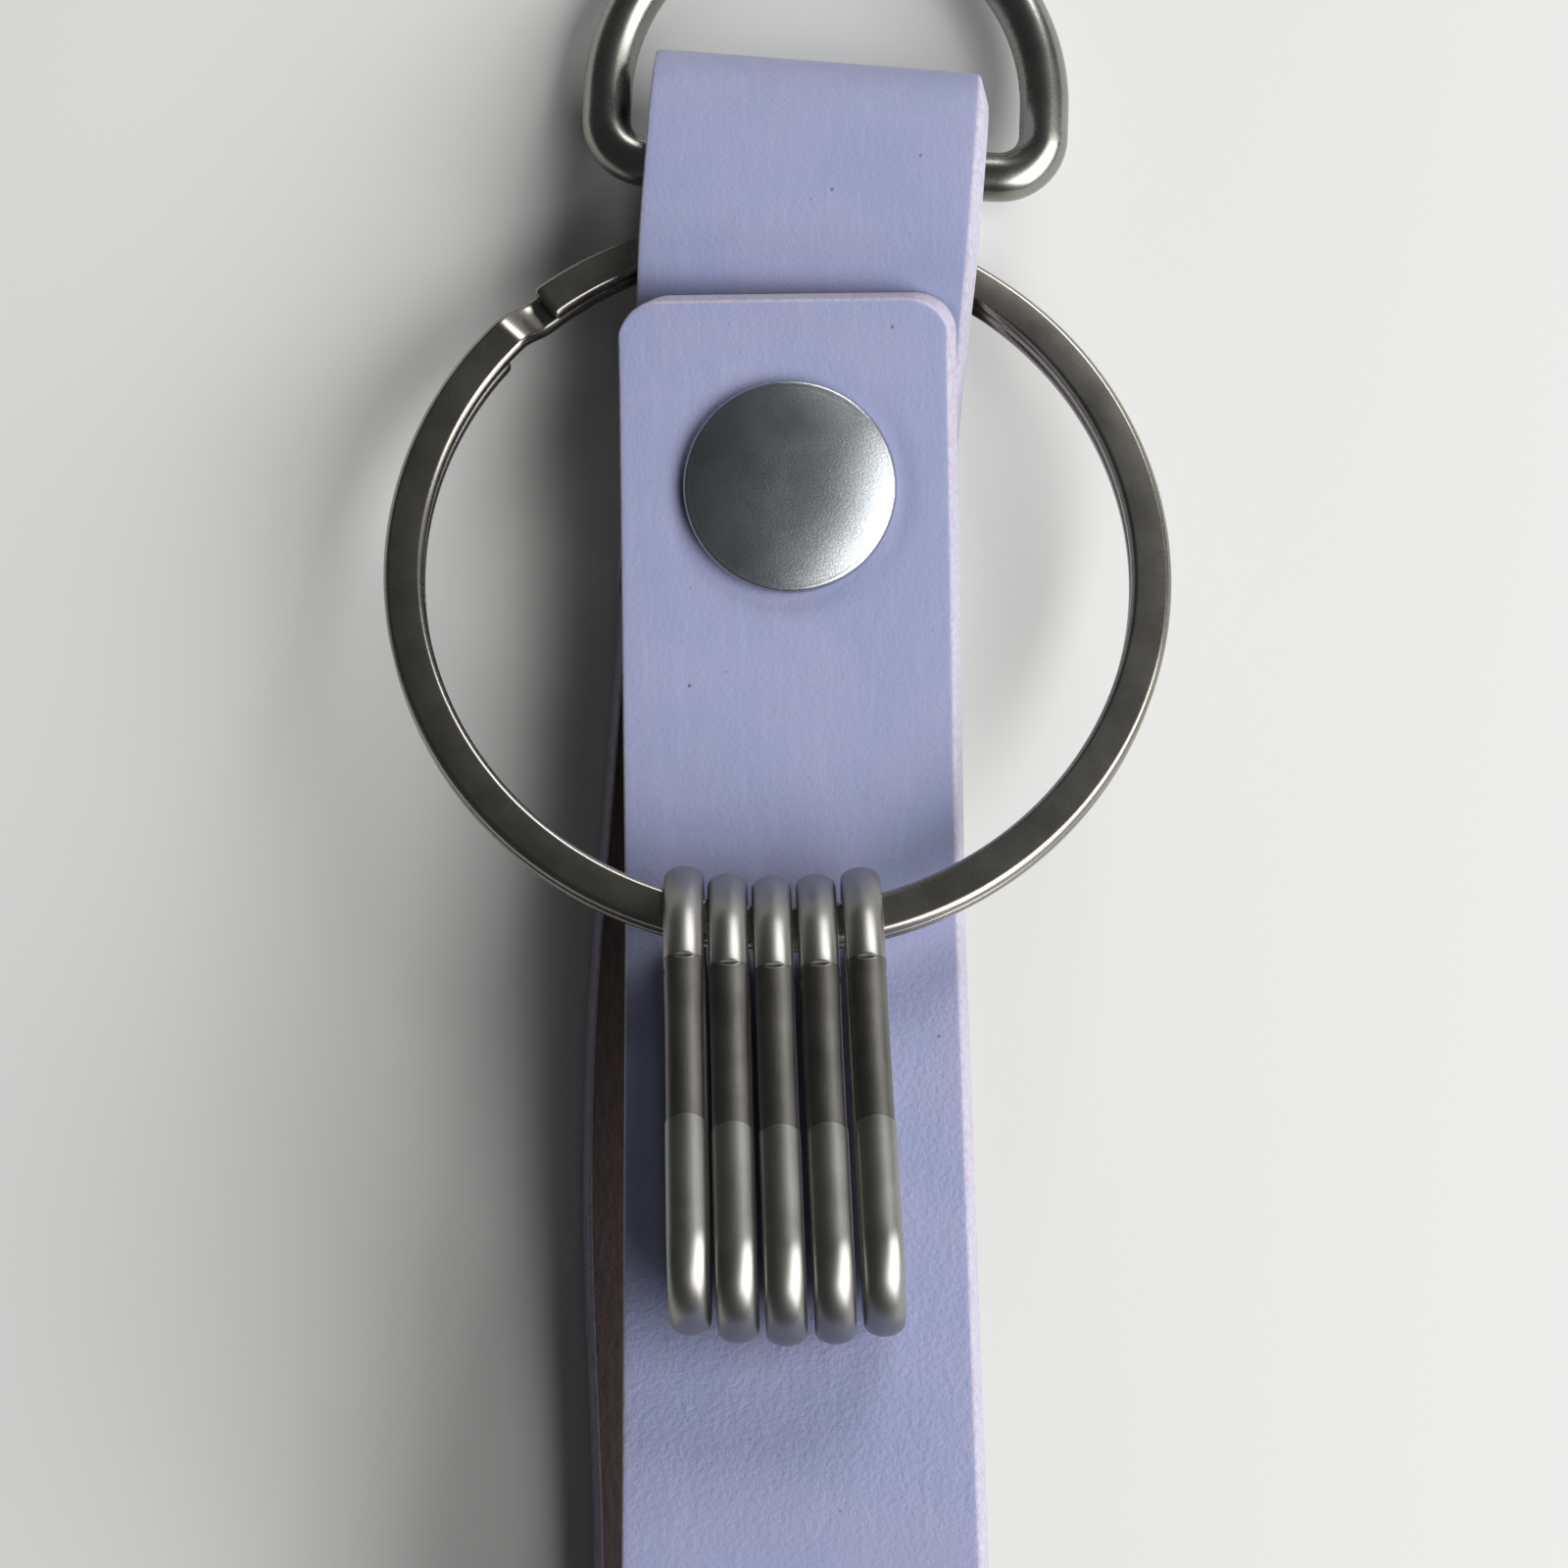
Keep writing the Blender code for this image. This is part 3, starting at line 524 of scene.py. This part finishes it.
def strapPiece(name, route, along, first, last, roundFirst, roundLast):
    # each row of the route carries the section on its own normal; a cut end is drawn in near the corners by
    # R - sqrt(R^2 - over^2) and its grain edge rolls down over a quarter circle
    s = strap
    section, raw, shadedFlesh, endFaces = strapSection()
    half, corner, roll = s["width"] / 2, s["cornerRadius"], s["edgeRound"]
    inner = along[(along > first + 0.4) & (along < last - 0.4)]
    closeRows = np.arange(0.45, s["closeZone"], 0.13)
    if roundFirst:
        inner = np.sort(np.concatenate([inner[inner > first + s["closeZone"]], first + closeRows]))
    if roundLast:
        inner = np.sort(np.concatenate([inner[inner < last - s["closeZone"]], last - closeRows]))
    quarter = np.radians([0, 30, 60, 90])
    lip = roll * (1 - np.sin(quarter))
    dropLip = roll * (1 - np.cos(quarter))
    rows = np.concatenate([
        first + lip[::-1] if roundFirst else [first], inner, last - lip if roundLast else [last]])
    drop = np.zeros(len(rows))
    raw = np.broadcast_to(raw, (len(rows), len(raw))).copy()
    if roundFirst:
        drop[:4] = dropLip[::-1]
        raw[:3] = 1
    if roundLast:
        drop[-4:] = dropLip
        raw[-3:] = 1
    u = np.broadcast_to(section[:, 0], (len(rows), len(section)))
    h = np.broadcast_to(section[:, 1], u.shape)
    h = h - drop[:, None] * np.clip(h, 0, 1) - s["sideCrown"] * (np.abs(u) / half) ** 8 * np.sign(h)
    a = np.broadcast_to(rows[:, None], u.shape).copy()
    over = np.clip(np.abs(u) - (half - corner), 0, corner)
    trim = corner - np.sqrt(corner ** 2 - over ** 2)
    if roundLast:
        a -= trim * np.clip((a - (last - 2 * corner)) / (2 * corner), 0, 1)
        a -= s["endSlant"] * (h + 1) / 2 * np.clip((a - (last - 2 * corner)) / (2 * corner), 0, 1)
    if roundFirst:
        a += trim * np.clip((first + 2 * corner - a) / (2 * corner), 0, 1)
    tangent = unit(np.gradient(route[:, :2], axis=0))
    y, z, lean = (np.interp(a, along, route[:, k]) for k in range(3))
    ty, tz = np.interp(a, along, tangent[:, 0]), np.interp(a, along, tangent[:, 1])
    foldShare = ease((y - s["loopFrom"]) / s["loopRun"]) * (z > s["loopAbove"])
    slant = s["slantCut"] + (s["loopSlant"] - s["slantCut"]) * foldShare
    u = u - slant * h / 2
    y, z = y - tz * h, z + ty * h
    # the cap has pressed a shallow bell-shaped groove round itself into the grain side
    dent = np.exp(-((np.hypot(u, y) - s["capRadius"] - s["dentReach"]) / s["dentSpread"]) ** 2)
    z = z - s["capDent"] * (dent * (z > s["flapLevel"] - 0.5) * (h > 0))
    onRamp = ease((s["flexedFrom"] - y) / s["flexedRise"]) * ease((y - s["flexedTo"]) / s["flexedFall"])
    flexed = s["flexedRamp"] * onRamp + s["flexedAll"]
    lean = np.radians(lean)
    grid = np.stack([u * np.cos(lean) + y * np.sin(lean), y * np.cos(lean) - u * np.sin(lean), z], -1)
    return gridSolid(name, grid, leather, endFaces=endFaces, sharpAngle=50, values={
        "cutEdge": raw, "fleshSide": np.broadcast_to(shadedFlesh, raw.shape), "flexed": flexed})


def makeStrap():
    # the strip in two meshes, with round holes for the post, its flange and the cap's rivet
    s = strap
    route, leaveY = strapRoute()
    along = lengthAlong(route[:, :2])
    joinAt = along[np.argmax((along > along[-1] / 2) & (route[:, 0] > leaveY + s["joinUpRamp"]))]
    back = strapPiece("strapLoops", route, along, 0, joinAt, True, False)
    front = strapPiece("strapFront", route, along, joinAt, along[-1], False, True)
    holes = (s["postHole"], -1, 5), (s["flangeSeat"], -1, s["flangeDepth"]), (s["rivetHole"], 7.5, 11)
    post, seat, rivet = [
        turnedSolid("hole", [(0, low), (radius, low), (radius, high), (0, high)], None, 64)
        for radius, low, high in holes
    ]
    cut(back, [post, seat], sharpAngle=50)
    cut(front, [rivet], sharpAngle=50)
    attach(back, "strap")
    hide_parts("strap_loop")
    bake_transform(front)
    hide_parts("strap_flap")


makeStrap()
print("strap made")


# press snap: post and stud through the small loop, socket and cap on the flap

snap = {
    "capRadius": 6.1, "capFloor": 10.2, "capRise": 1.25, "shoulder": 0.62, "rivetRadius": 1.5,
    "flangeRadius": 4.8, "flangeThickness": 0.65, "studFloor": 4.35, "studTop": 7.35, "studHead": 2.6,
    "studBase": 4.6, "socketRadius": 5.2, "socketTop": 8.0, "socketBore": 3.3, "springWire": 0.6,
    "rollInset": 0.30, "rollRadius": 0.34, "fall": 2.6,
    "grooveLift": 1.15, "grooveDepth": 0.55, "grooveRoom": 0.2, "springOpen": 25,   # degrees, on each side
}


def capProfile():
    # a low dome, its height falling with radius^2.6, that rolls over into a short upright wall with a hem
    # below
    c = snap
    radius, floor = c["capRadius"], c["capFloor"]
    domeRadius = radius - c["rollInset"]
    r = np.linspace(0, domeRadius, 44)
    fall = (c["capRise"] - c["shoulder"]) * (r / domeRadius) ** c["fall"]
    dome = np.stack([r, floor + c["capRise"] - fall], 1)
    roll = arc((radius - c["rollRadius"], floor + c["shoulder"] - 0.32), c["rollRadius"], 62, 0, 10)
    hem = [(radius, floor + 0.20), (radius - 0.07, floor + 0.16), (radius - 0.02, floor + 0.10),
           (radius - 0.25, floor)]
    stem = filleted([(radius - 0.25, floor), (c["rivetRadius"], floor),
                     (c["rivetRadius"], c["socketTop"] - 0.45), (0, c["socketTop"] - 0.45)], 0.12)
    return np.concatenate([dome, roll, hem, stem[1:]])


def makeSnap():
    # five pieces turned round the snap's upright line, but for the spring, an open ring of round wire
    c = snap
    groove = c["studFloor"] + c["grooveLift"]
    grooveTop = groove + c["springWire"] + c["grooveRoom"]
    grooveRadius = c["socketBore"] + c["grooveDepth"]
    cap = turnedSolid("snapCap", capProfile(), snapMetal, 160)
    post = turnedSolid("snapPost", filleted([
        (0, c["studTop"] - 0.7), (c["rivetRadius"], c["studTop"] - 0.7),
        (c["rivetRadius"], c["flangeThickness"] + 0.2), (c["rivetRadius"] + 0.3, c["flangeThickness"]),
        (c["flangeRadius"] - 0.2, c["flangeThickness"]),
        (c["flangeRadius"], c["flangeThickness"] - 0.25), (c["flangeRadius"] - 0.3, 0),
        (1.2, 0), (0.9, 0.22), (0, 0.22)], 0.15), snapMetal, 120)
    stud = turnedSolid("snapStud", filleted([
        (0, c["studTop"]), (c["studHead"] - 0.7, c["studTop"]), (c["studHead"], c["studTop"] - 0.7),
        (c["studHead"] - 0.35, c["studTop"] - 1.3), (c["studHead"] - 0.3, c["studFloor"] + 0.55),
        (c["studBase"], c["studFloor"] + 0.45), (c["studBase"], c["studFloor"]),
        (c["rivetRadius"] + 0.25, c["studFloor"]), (c["rivetRadius"] + 0.25, c["studTop"] - 0.5),
        (0, c["studTop"] - 0.5)], 0.28), snapMetal, 120)
    socket = turnedSolid("snapSocket", filleted([
        (c["socketRadius"], c["socketTop"]), (c["socketRadius"], c["socketTop"] - 0.45),
        (c["socketRadius"] - 0.5, c["socketTop"] - 0.7), (grooveRadius + 0.45, c["studFloor"] + 1.1),
        (grooveRadius + 0.2, c["studFloor"] + 0.75), (c["socketBore"], c["studFloor"] + 0.75),
        (c["socketBore"], groove), (grooveRadius, groove), (grooveRadius, grooveTop),
        (c["socketBore"], grooveTop), (c["socketBore"], c["socketTop"] - 0.5),
        (c["rivetRadius"] + 0.2, c["socketTop"] - 0.5), (c["rivetRadius"] + 0.2, c["socketTop"])],
        0.12, closed=True), snapMetal, 120)
    a = np.radians(np.linspace(c["springOpen"], 360 - c["springOpen"], 120))
    radius = grooveRadius - c["springWire"] / 2 - 0.05
    path = np.stack([radius * np.cos(a), radius * np.sin(a), np.full(120, (groove + grooveTop) / 2)], 1)
    outward = np.stack([np.cos(a), np.sin(a), np.zeros(120)], 1)
    upward = everywhere((0, 0, 1), path)
    wire = ellipseSection(c["springWire"], c["springWire"], 16)
    spring = gridSolid("snapSpring", carried(path, outward, upward, wire), springSteel)
    for piece, body, node in (
            (cap, "flap", "snap_cap"), (post, "strap", "snap_post"), (stud, "strap", "snap_stud"),
            (socket, "flap", "snap_socket"), (spring, "flap", "snap_spring")):
        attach(piece, body)
        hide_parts(node)


makeSnap()
print("snap made")


# D-ring and split ring

def turnedFrame(joint, tilt):
    # the joint's own axes: X along its line, Y turned down by tilt degrees from level, Z square to both
    x = np.array(joint["axis"], float)
    x = unit(x if x[0] > 0 else -x)
    level = np.cross([0, 0, 1.0], x)
    y = math.cos(math.radians(tilt)) * level - math.sin(math.radians(tilt)) * np.array([0, 0, 1.0])
    return np.array(joint["pos_m"]) / mm, np.stack([x, y, np.cross(x, y)])


def placed(points, origin, axes):
    # origin plus each number times its own axis
    return origin + points @ axes


dRing = {"wire": 2.9, "width": 28.8, "cornerRadius": 2.6, "bowRise": 4.3, "sides": 40, "spacing": 0.35,
         "floorGap": 0.2}


def makeDRing():
    # a bar, two round corners, two short limbs and a half circle, drawn flat and closed
    d = dRing
    half, r = (d["width"] - d["wire"]) / 2, d["cornerRadius"]
    quarter = arc((half - r, r), r, -90, 0, 24)
    flat = np.concatenate([
        [(0, 0)], quarter, arc((0, d["bowRise"]), half, 0, 180, 120), quarter[::-1] * (-1, 1), [(0, 0)]])
    flat = evenly(flat, d["spacing"])[:-1]
    path = np.column_stack([flat, np.zeros(len(flat))])
    along = unit(np.roll(path, -1, 0) - np.roll(path, 1, 0))
    up = everywhere((0, 0, 1), path)
    joint = jointOf["d_ring_swing"]
    # it leans down until the bow is floorGap above the floor
    drop = math.degrees(math.asin(
        (joint["pos_m"][2] / mm - d["wire"] / 2 - d["floorGap"]) / (d["bowRise"] + half)))
    grid = carried(path, np.cross(along, up), up, ellipseSection(d["wire"], d["wire"], d["sides"]))
    piece = gridSolid("dRing", placed(grid, *turnedFrame(joint, drop)), satinNickel, wrapRows=True)
    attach(piece, "d_ring")
    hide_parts("d_ring")


splitRing = {"diameter": 45.0, "wireWidth": 2.3, "wireThickness": 0.95, "gap": 0.1, "edgeBevel": 0.26,
             "edgeFillet": 0.13, "endShare": (0.86, 0.97), "tilt": 15.5, "endAngle": 134.0, "stepAngle": 7.0,
             "tailGap": 2.5, "spacing": 0.45}


def makeSplitRing():
    # two turns of a circle; the height drops from the upper level to the lower along half a cosine wave
    s = splitRing
    outer, middle = s["diameter"] / 2, (s["diameter"] - s["wireWidth"]) / 2
    level = (s["wireThickness"] + s["gap"]) / 2
    stepStart = 360 - s["stepAngle"] - 1
    lastTurn = 360 + stepStart - s["tailGap"]
    lip = np.degrees(np.array([0, 0.12, 0.3]) / middle)
    turn = np.arange(1.5, lastTurn - 1.5, math.degrees(s["spacing"] / middle))
    turn = turn[(turn < stepStart - 1) | (turn > 360)]
    turn = np.sort(np.concatenate([lip, turn, np.arange(stepStart - 0.9, 359.9, 0.3), lastTurn - lip]))
    drop = ease((turn - stepStart) / s["stepAngle"])
    a = np.radians(s["endAngle"] - turn)
    outward = np.stack([np.cos(a), np.sin(a), np.zeros(len(a))], 1)
    path = outward * middle + [0, -outer, 0]
    path[:, 2] = level * (1 - 2 * drop)
    up = everywhere((0, 0, 1), path)
    x, y, b = s["wireWidth"] / 2, s["wireThickness"] / 2, s["edgeBevel"]
    outline = filleted([(x, b - y), (x, y - b), (x - b, y), (b - x, y), (-x, y - b), (-x, b - y), (b - x, -y),
                        (x - b, -y)], s["edgeFillet"], 5, closed=True)
    share = np.ones((len(turn), 1, 1))      # the cut ends are rounded off by drawing in their last rows
    share[[0, -1]], share[[1, -2]] = s["endShare"]
    grid = carried(path, outward, up, outline[None] * share)
    joint = jointOf["ring_swing"]
    piece = gridSolid("splitRing", placed(grid, *turnedFrame(joint, s["tilt"])), darkNickel, sharpAngle=30)
    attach(piece, "ring")
    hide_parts("split_ring")


makeDRing()
makeSplitRing()
print("rings made")


# oval links with sprung gates; a link's own frame has X across it, -Y along it from the ring, and Z away from
# the strap

link = {
    "count": 5, "length": 26.6, "inner": 6.0, "width": 2.2, "depth": 1.45, "ringPlay": 0.35, "rampAngle": 21.5,
    "sides": 72, "droop": 0.50, "droopPower": 1.4,
    "gateShrink": 0.12, "shrinkLength": 3, "gateLength": 9.0, "gateTip": 1.0, "bodyGap": 0.004, "heel": 0.55,
    "notchWidth": 1.20, "notchLength": 0.40, "lipArch": 0.30, "lipRise": 0.08, "roof": 0.22,
    "slot": 1.0, "slotLength": 4.6, "tongueGap": 0.1, "tongueFloor": 0.12,
    "pinRadius": 0.3, "pinSetBack": 0.8, "pinDrop": 0.08, "pinFit": 0.02, "springWire": 0.36,
}
barHeight = (link["inner"] + link["depth"]) / 2


def linkFrame(number):
    # the pivot's place and axes, and how far the link stands off the ring's middle, from the two joints' places
    swing, gate = jointOf[f"link_{number}_swing"], jointOf[f"gate_{number}_opening"]
    origin, axes = turnedFrame(swing, link["rampAngle"])
    pin = axes @ (np.array(gate["pos_m"]) / mm - origin)
    lift = pin[2] - (barHeight - link["pinDrop"])
    return origin + lift * axes[2], axes, -pin[1]


def drooped(y, z, gateStart):
    # from the gate towards the ring the bar comes down: its height times 1 - droop * (distance / reach)^1.4
    reach = barHeight - link["depth"] + gateStart
    share = np.clip((y + gateStart) / reach, 0, 1) ** link["droopPower"]
    return np.where(z > 0, z * (1 - link["droop"] * share), z)


def notched(grid, top, gateStart):
    # heights held under a V across the bar, deepest at the line between body and gate
    n = link
    depth = n["depth"] / 2 * (1 - math.sqrt(1 - (n["notchWidth"] / n["width"]) ** 2))
    away = np.abs(grid[..., 1] + gateStart - n["bodyGap"] / 2)
    return np.minimum(grid[..., 2], top - depth + away * depth / (n["notchLength"] / 2))


def archTool(y, depthY, z0, z1):
    # an upright block whose ring-side face is bowed: its middle stands a lipArch ahead of its sides
    x = np.linspace(-link["width"], link["width"], 61)
    front = np.stack([x, y - link["lipArch"] * np.minimum(np.abs(x) / (link["width"] / 2), 1.2) ** 2], 1)
    outline = np.concatenate([front, [(x[-1], y - depthY), (x[0], y - depthY)]])
    grid = np.stack([np.column_stack([outline, np.full(len(outline), z)]) for z in (z0, z1)])
    return gridSolid("arch", grid, None)


def linkBody(pinPlace):
    # the wire's line: short front bar, half circle round the ring, back bar, half circle, front bar to the lip
    n = link
    gateStart = pinPlace - n["pinSetBack"]
    lipY = gateStart + n["gateLength"]
    bodyEnd = gateStart - n["bodyGap"]
    endCentre = n["inner"] / 2 - splitRing["wireWidth"] / 2 - n["ringPlay"]
    farCentre = endCentre + n["length"] - n["inner"] - 2 * n["depth"]
    near = arc((-endCentre, 0), barHeight, 90, -90, 60)
    far = arc((-farCentre, 0), barHeight, -90, -270, 60)
    flat = np.concatenate([[(-bodyEnd, barHeight)], near, far, [(-lipY, barHeight)]])
    flat = evenly(flat, 0.2)
    startRows, noseRows = 16, 14
    flat = np.concatenate([run(-bodyEnd, -bodyEnd + 0.5, barHeight, startRows), flat[4:-4],
                           run(-lipY - 0.6, -lipY, barHeight, noseRows)])
    flat[:, 1] = drooped(flat[:, 0], flat[:, 1], gateStart)
    path = np.column_stack([np.zeros(len(flat)), flat])
    along = unit(np.gradient(path, axis=0))
    side = everywhere((1, 0, 0), path)
    up = np.cross(along, side)
    up[:, 1:] *= np.sign(np.sum(up * (path - [0, -(endCentre + farCentre) / 2, 0]), 1))[:, None]
    grid = carried(path, side, up, ellipseSection(n["width"], n["depth"], n["sides"]))
    grid[:startRows, :, 2] = notched(grid[:startRows], path[0, 2] + n["depth"] / 2, gateStart)
    # the lip's end is bowed: each point goes back by lipArch times its share of the half width, squared
    nose = slice(len(path) - noseRows, None)
    bow = n["lipArch"] * (np.abs(grid[nose, :, 0]) / (n["width"] / 2)) ** 2
    grid[nose, :, 1] -= bow * np.clip(path[nose, 1] + lipY + 1.0, 0, 1)[:, None]
    return gridSolid("linkBody", grid, linkNickel)


def linkGate(pinPlace):
    # a straight bar that starts level with the body and thins by gateShrink over shrinkLength; its tip runs on
    # under the lip
    n = link
    gateStart = pinPlace - n["pinSetBack"]
    lipY = gateStart + n["gateLength"]
    end = lipY + n["gateTip"]
    y = np.concatenate([np.linspace(gateStart, gateStart + 0.5, 18), np.linspace(gateStart + 0.6, end, 60)])
    path = np.column_stack([np.zeros(len(y)), -y, np.full(len(y), barHeight)])
    side = everywhere((1, 0, 0), path)
    up = everywhere((0, 0, 1), path)
    slim = (n["gateShrink"] * np.clip((y - gateStart) / n["shrinkLength"], 0, 1))[:, None]
    turn = ellipseSection(1, 1, n["sides"])[None]
    section = np.stack([turn[..., 0] * (n["width"] - slim), turn[..., 1] * (n["depth"] - slim)], -1)
    grid = carried(path, side, up, section)
    grid[..., 2] = notched(grid, path[0, 2] + n["depth"] / 2, gateStart)
    # the lower edge of its hinge end is a quarter circle of the heel's radius
    fromEnd = np.clip(1 - (-grid[..., 1] - gateStart) / n["heel"], 0, 1)
    low = barHeight - n["depth"] / 2 + n["heel"] * (1 - np.sqrt(1 - fromEnd ** 2))
    grid[..., 2] = np.maximum(grid[..., 2], low)
    # its darker plating is partly painted shade
    return gridSolid("linkGate", grid, shadedGateNickel)


def linkParts():
    # body, gate, pin and spring in the link's own frame, with the pockets that they share taken out
    n = link
    _, _, pinPlace = linkFrame(1)
    gateStart = pinPlace - n["pinSetBack"]
    lipY = gateStart + n["gateLength"]
    body, gate = linkBody(pinPlace), linkGate(pinPlace)
    half, tongue, w = n["depth"] / 2, n["slot"] / 2 - n["tongueGap"], n["width"]
    lipFloor = barHeight + n["lipRise"]
    pinZ = barHeight - n["pinDrop"]
    tongueLow = barHeight - half + n["tongueFloor"]
    cut(body, [
        blockTool((-tongue, -(pinPlace + 0.35), tongueLow), (tongue, -(gateStart - 0.9), barHeight + 0.24)),
        blockTool((-tongue, -(pinPlace + 0.55), tongueLow), (tongue, -pinPlace, barHeight + 0.16)),
    ], "UNION", 30)
    cut(body, [
        blockTool((-w, -(lipY + n["gateTip"] + 0.15), barHeight - n["depth"]), (w, -(lipY - 1), lipFloor)),
        pinTool(n["pinRadius"] + n["pinFit"], -w, w, -pinPlace, pinZ),
    ], sharpAngle=30)
    cut(gate, [
        archTool(-(lipY - 0.02), n["gateTip"] + 1, lipFloor - 0.1, barHeight + n["depth"]),
        blockTool((-n["slot"] / 2, -(gateStart + n["slotLength"]), barHeight - n["depth"]),
                  (n["slot"] / 2, -(gateStart - 1), barHeight + half - n["roof"])),
        pinTool(n["pinRadius"] + n["pinFit"], -w, w, -pinPlace, pinZ),
    ], sharpAngle=30)
    reach = (w - n["gateShrink"]) / 2 - 0.06
    ring = arc((-pinPlace, pinZ), 1, 0, 345, 24) - (-pinPlace, pinZ)
    ends = np.array([(-reach, 0.24), (-reach + 0.08, 0.3), (reach - 0.08, 0.3), (reach, 0.24)])
    pinGrid = np.stack([np.column_stack([np.full(24, x), ring * r + (-pinPlace, pinZ)]) for x, r in ends])
    pin = gridSolid("linkPin", pinGrid, springSteel)
    low = barHeight - half + n["springWire"]
    high = barHeight + half - n["roof"] - n["springWire"] / 2 - 0.12
    start = pinPlace + 1.1
    bends = np.array([(-start, low + 0.25), (-(start + 0.4), low), (-(start + 1.3), high - 0.1),
                      (-(gateStart + n["slotLength"] - 0.35), high)])
    line = evenly(filleted(bends, 0.35, 8), 0.08)
    path = np.column_stack([np.zeros(len(line)), line])
    along = unit(np.gradient(path, axis=0))
    side = everywhere((1, 0, 0), path)
    wire = ellipseSection(n["springWire"], n["springWire"], 14)
    spring = gridSolid("linkSpring", carried(path, side, np.cross(along, side), wire), springSteel)
    return {"body": body, "gate": gate, "pin": pin, "spring": spring}


def makeLinks():
    # one set of parts, copied to each link's own place on the ring
    parts = linkParts()
    for number in range(1, link["count"] + 1):
        origin, axes, _ = linkFrame(number)
        for part, source in parts.items():
            mesh = source.data.copy()
            points = np.empty(len(mesh.vertices) * 3, np.float32)
            mesh.vertices.foreach_get("co", points)
            points = placed(points.reshape(-1, 3) / mm, origin, axes) * mm
            mesh.vertices.foreach_set("co", points.astype(np.float32).ravel())
            mesh.update()
            piece = added(f"link{number}{part.capitalize()}", mesh)
            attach(piece, f"link_{number}" if part in ("body", "pin") else f"gate_{number}")
            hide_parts(f"link_{number}_{part}")
    for source in parts.values():
        bpy.data.objects.remove(source)


makeLinks()
print("links made")


# floor, lights and camera

studio = {
    "floorColour": (0.66, 0.66, 0.645), "floorRoughness": 0.8, "floorHalf": 1.5, "floorHeight": -0.0002,
    "worldColour": (0.92, 0.96, 1.0), "worldStrength": 0.055,
    "lights": (
        # name, place, aimed at, width, height, power
        ("windowRight", (0.47, -0.17, 0.45), (0, -0.015, 0), 0.85, 0.60, 8.6),
        ("stripAbove", (0.26, 0.60, 0.28), (0, -0.02, 0), 0.34, 0.26, 2.1),
    ),
    "cameraPlace": (-0.000335, -0.0277, 0.2147), "cameraTilt": 3, "lens": 82.67, "sensor": 36,
}


def makeStudio():
    # a pale square floor, two area lights and a dim even room; sizes here are in metres
    floor = bpy.data.meshes.new("floor")
    r, z = studio["floorHalf"], studio["floorHeight"]
    floor.from_pydata([(-r, -r, z), (r, -r, z), (r, r, z), (-r, r, z)], [], [(0, 1, 2, 3)])
    made, _, shader = blankMaterial("paleFloor")
    shader.inputs["Base Color"].default_value = (*studio["floorColour"], 1)
    shader.inputs["Roughness"].default_value = studio["floorRoughness"]
    floor.materials.append(made)
    plane = added("floor", floor)
    for name, place, aim, width, height, power in studio["lights"]:
        data = bpy.data.lights.new(name, "AREA")
        data.shape = "RECTANGLE"
        data.size, data.size_y, data.energy = width, height, power
        lamp = added(name, data)
        lamp.location = place
        lamp.rotation_euler = (Vector(aim) - Vector(place)).to_track_quat("-Z", "Y").to_euler()
    world = bpy.data.worlds.new("softRoom")
    world.use_nodes = True
    background = world.node_tree.nodes["Background"]
    background.inputs["Color"].default_value = (*studio["worldColour"], 1)
    background.inputs["Strength"].default_value = studio["worldStrength"]
    bpy.context.scene.world = world
    bpy.context.scene.view_settings.view_transform = "Standard"


def makeCamera():
    # it looks straight down but for cameraTilt degrees
    data = bpy.data.cameras.new("camera")
    data.lens, data.sensor_width = studio["lens"], studio["sensor"]
    data.clip_start, data.clip_end = 0.01, 10
    camera = added("camera", data)
    camera.location = studio["cameraPlace"]
    camera.rotation_euler = (math.radians(studio["cameraTilt"]), 0, 0)
    bpy.context.scene.camera = camera


makeStudio()
makeCamera()
print("studio made")
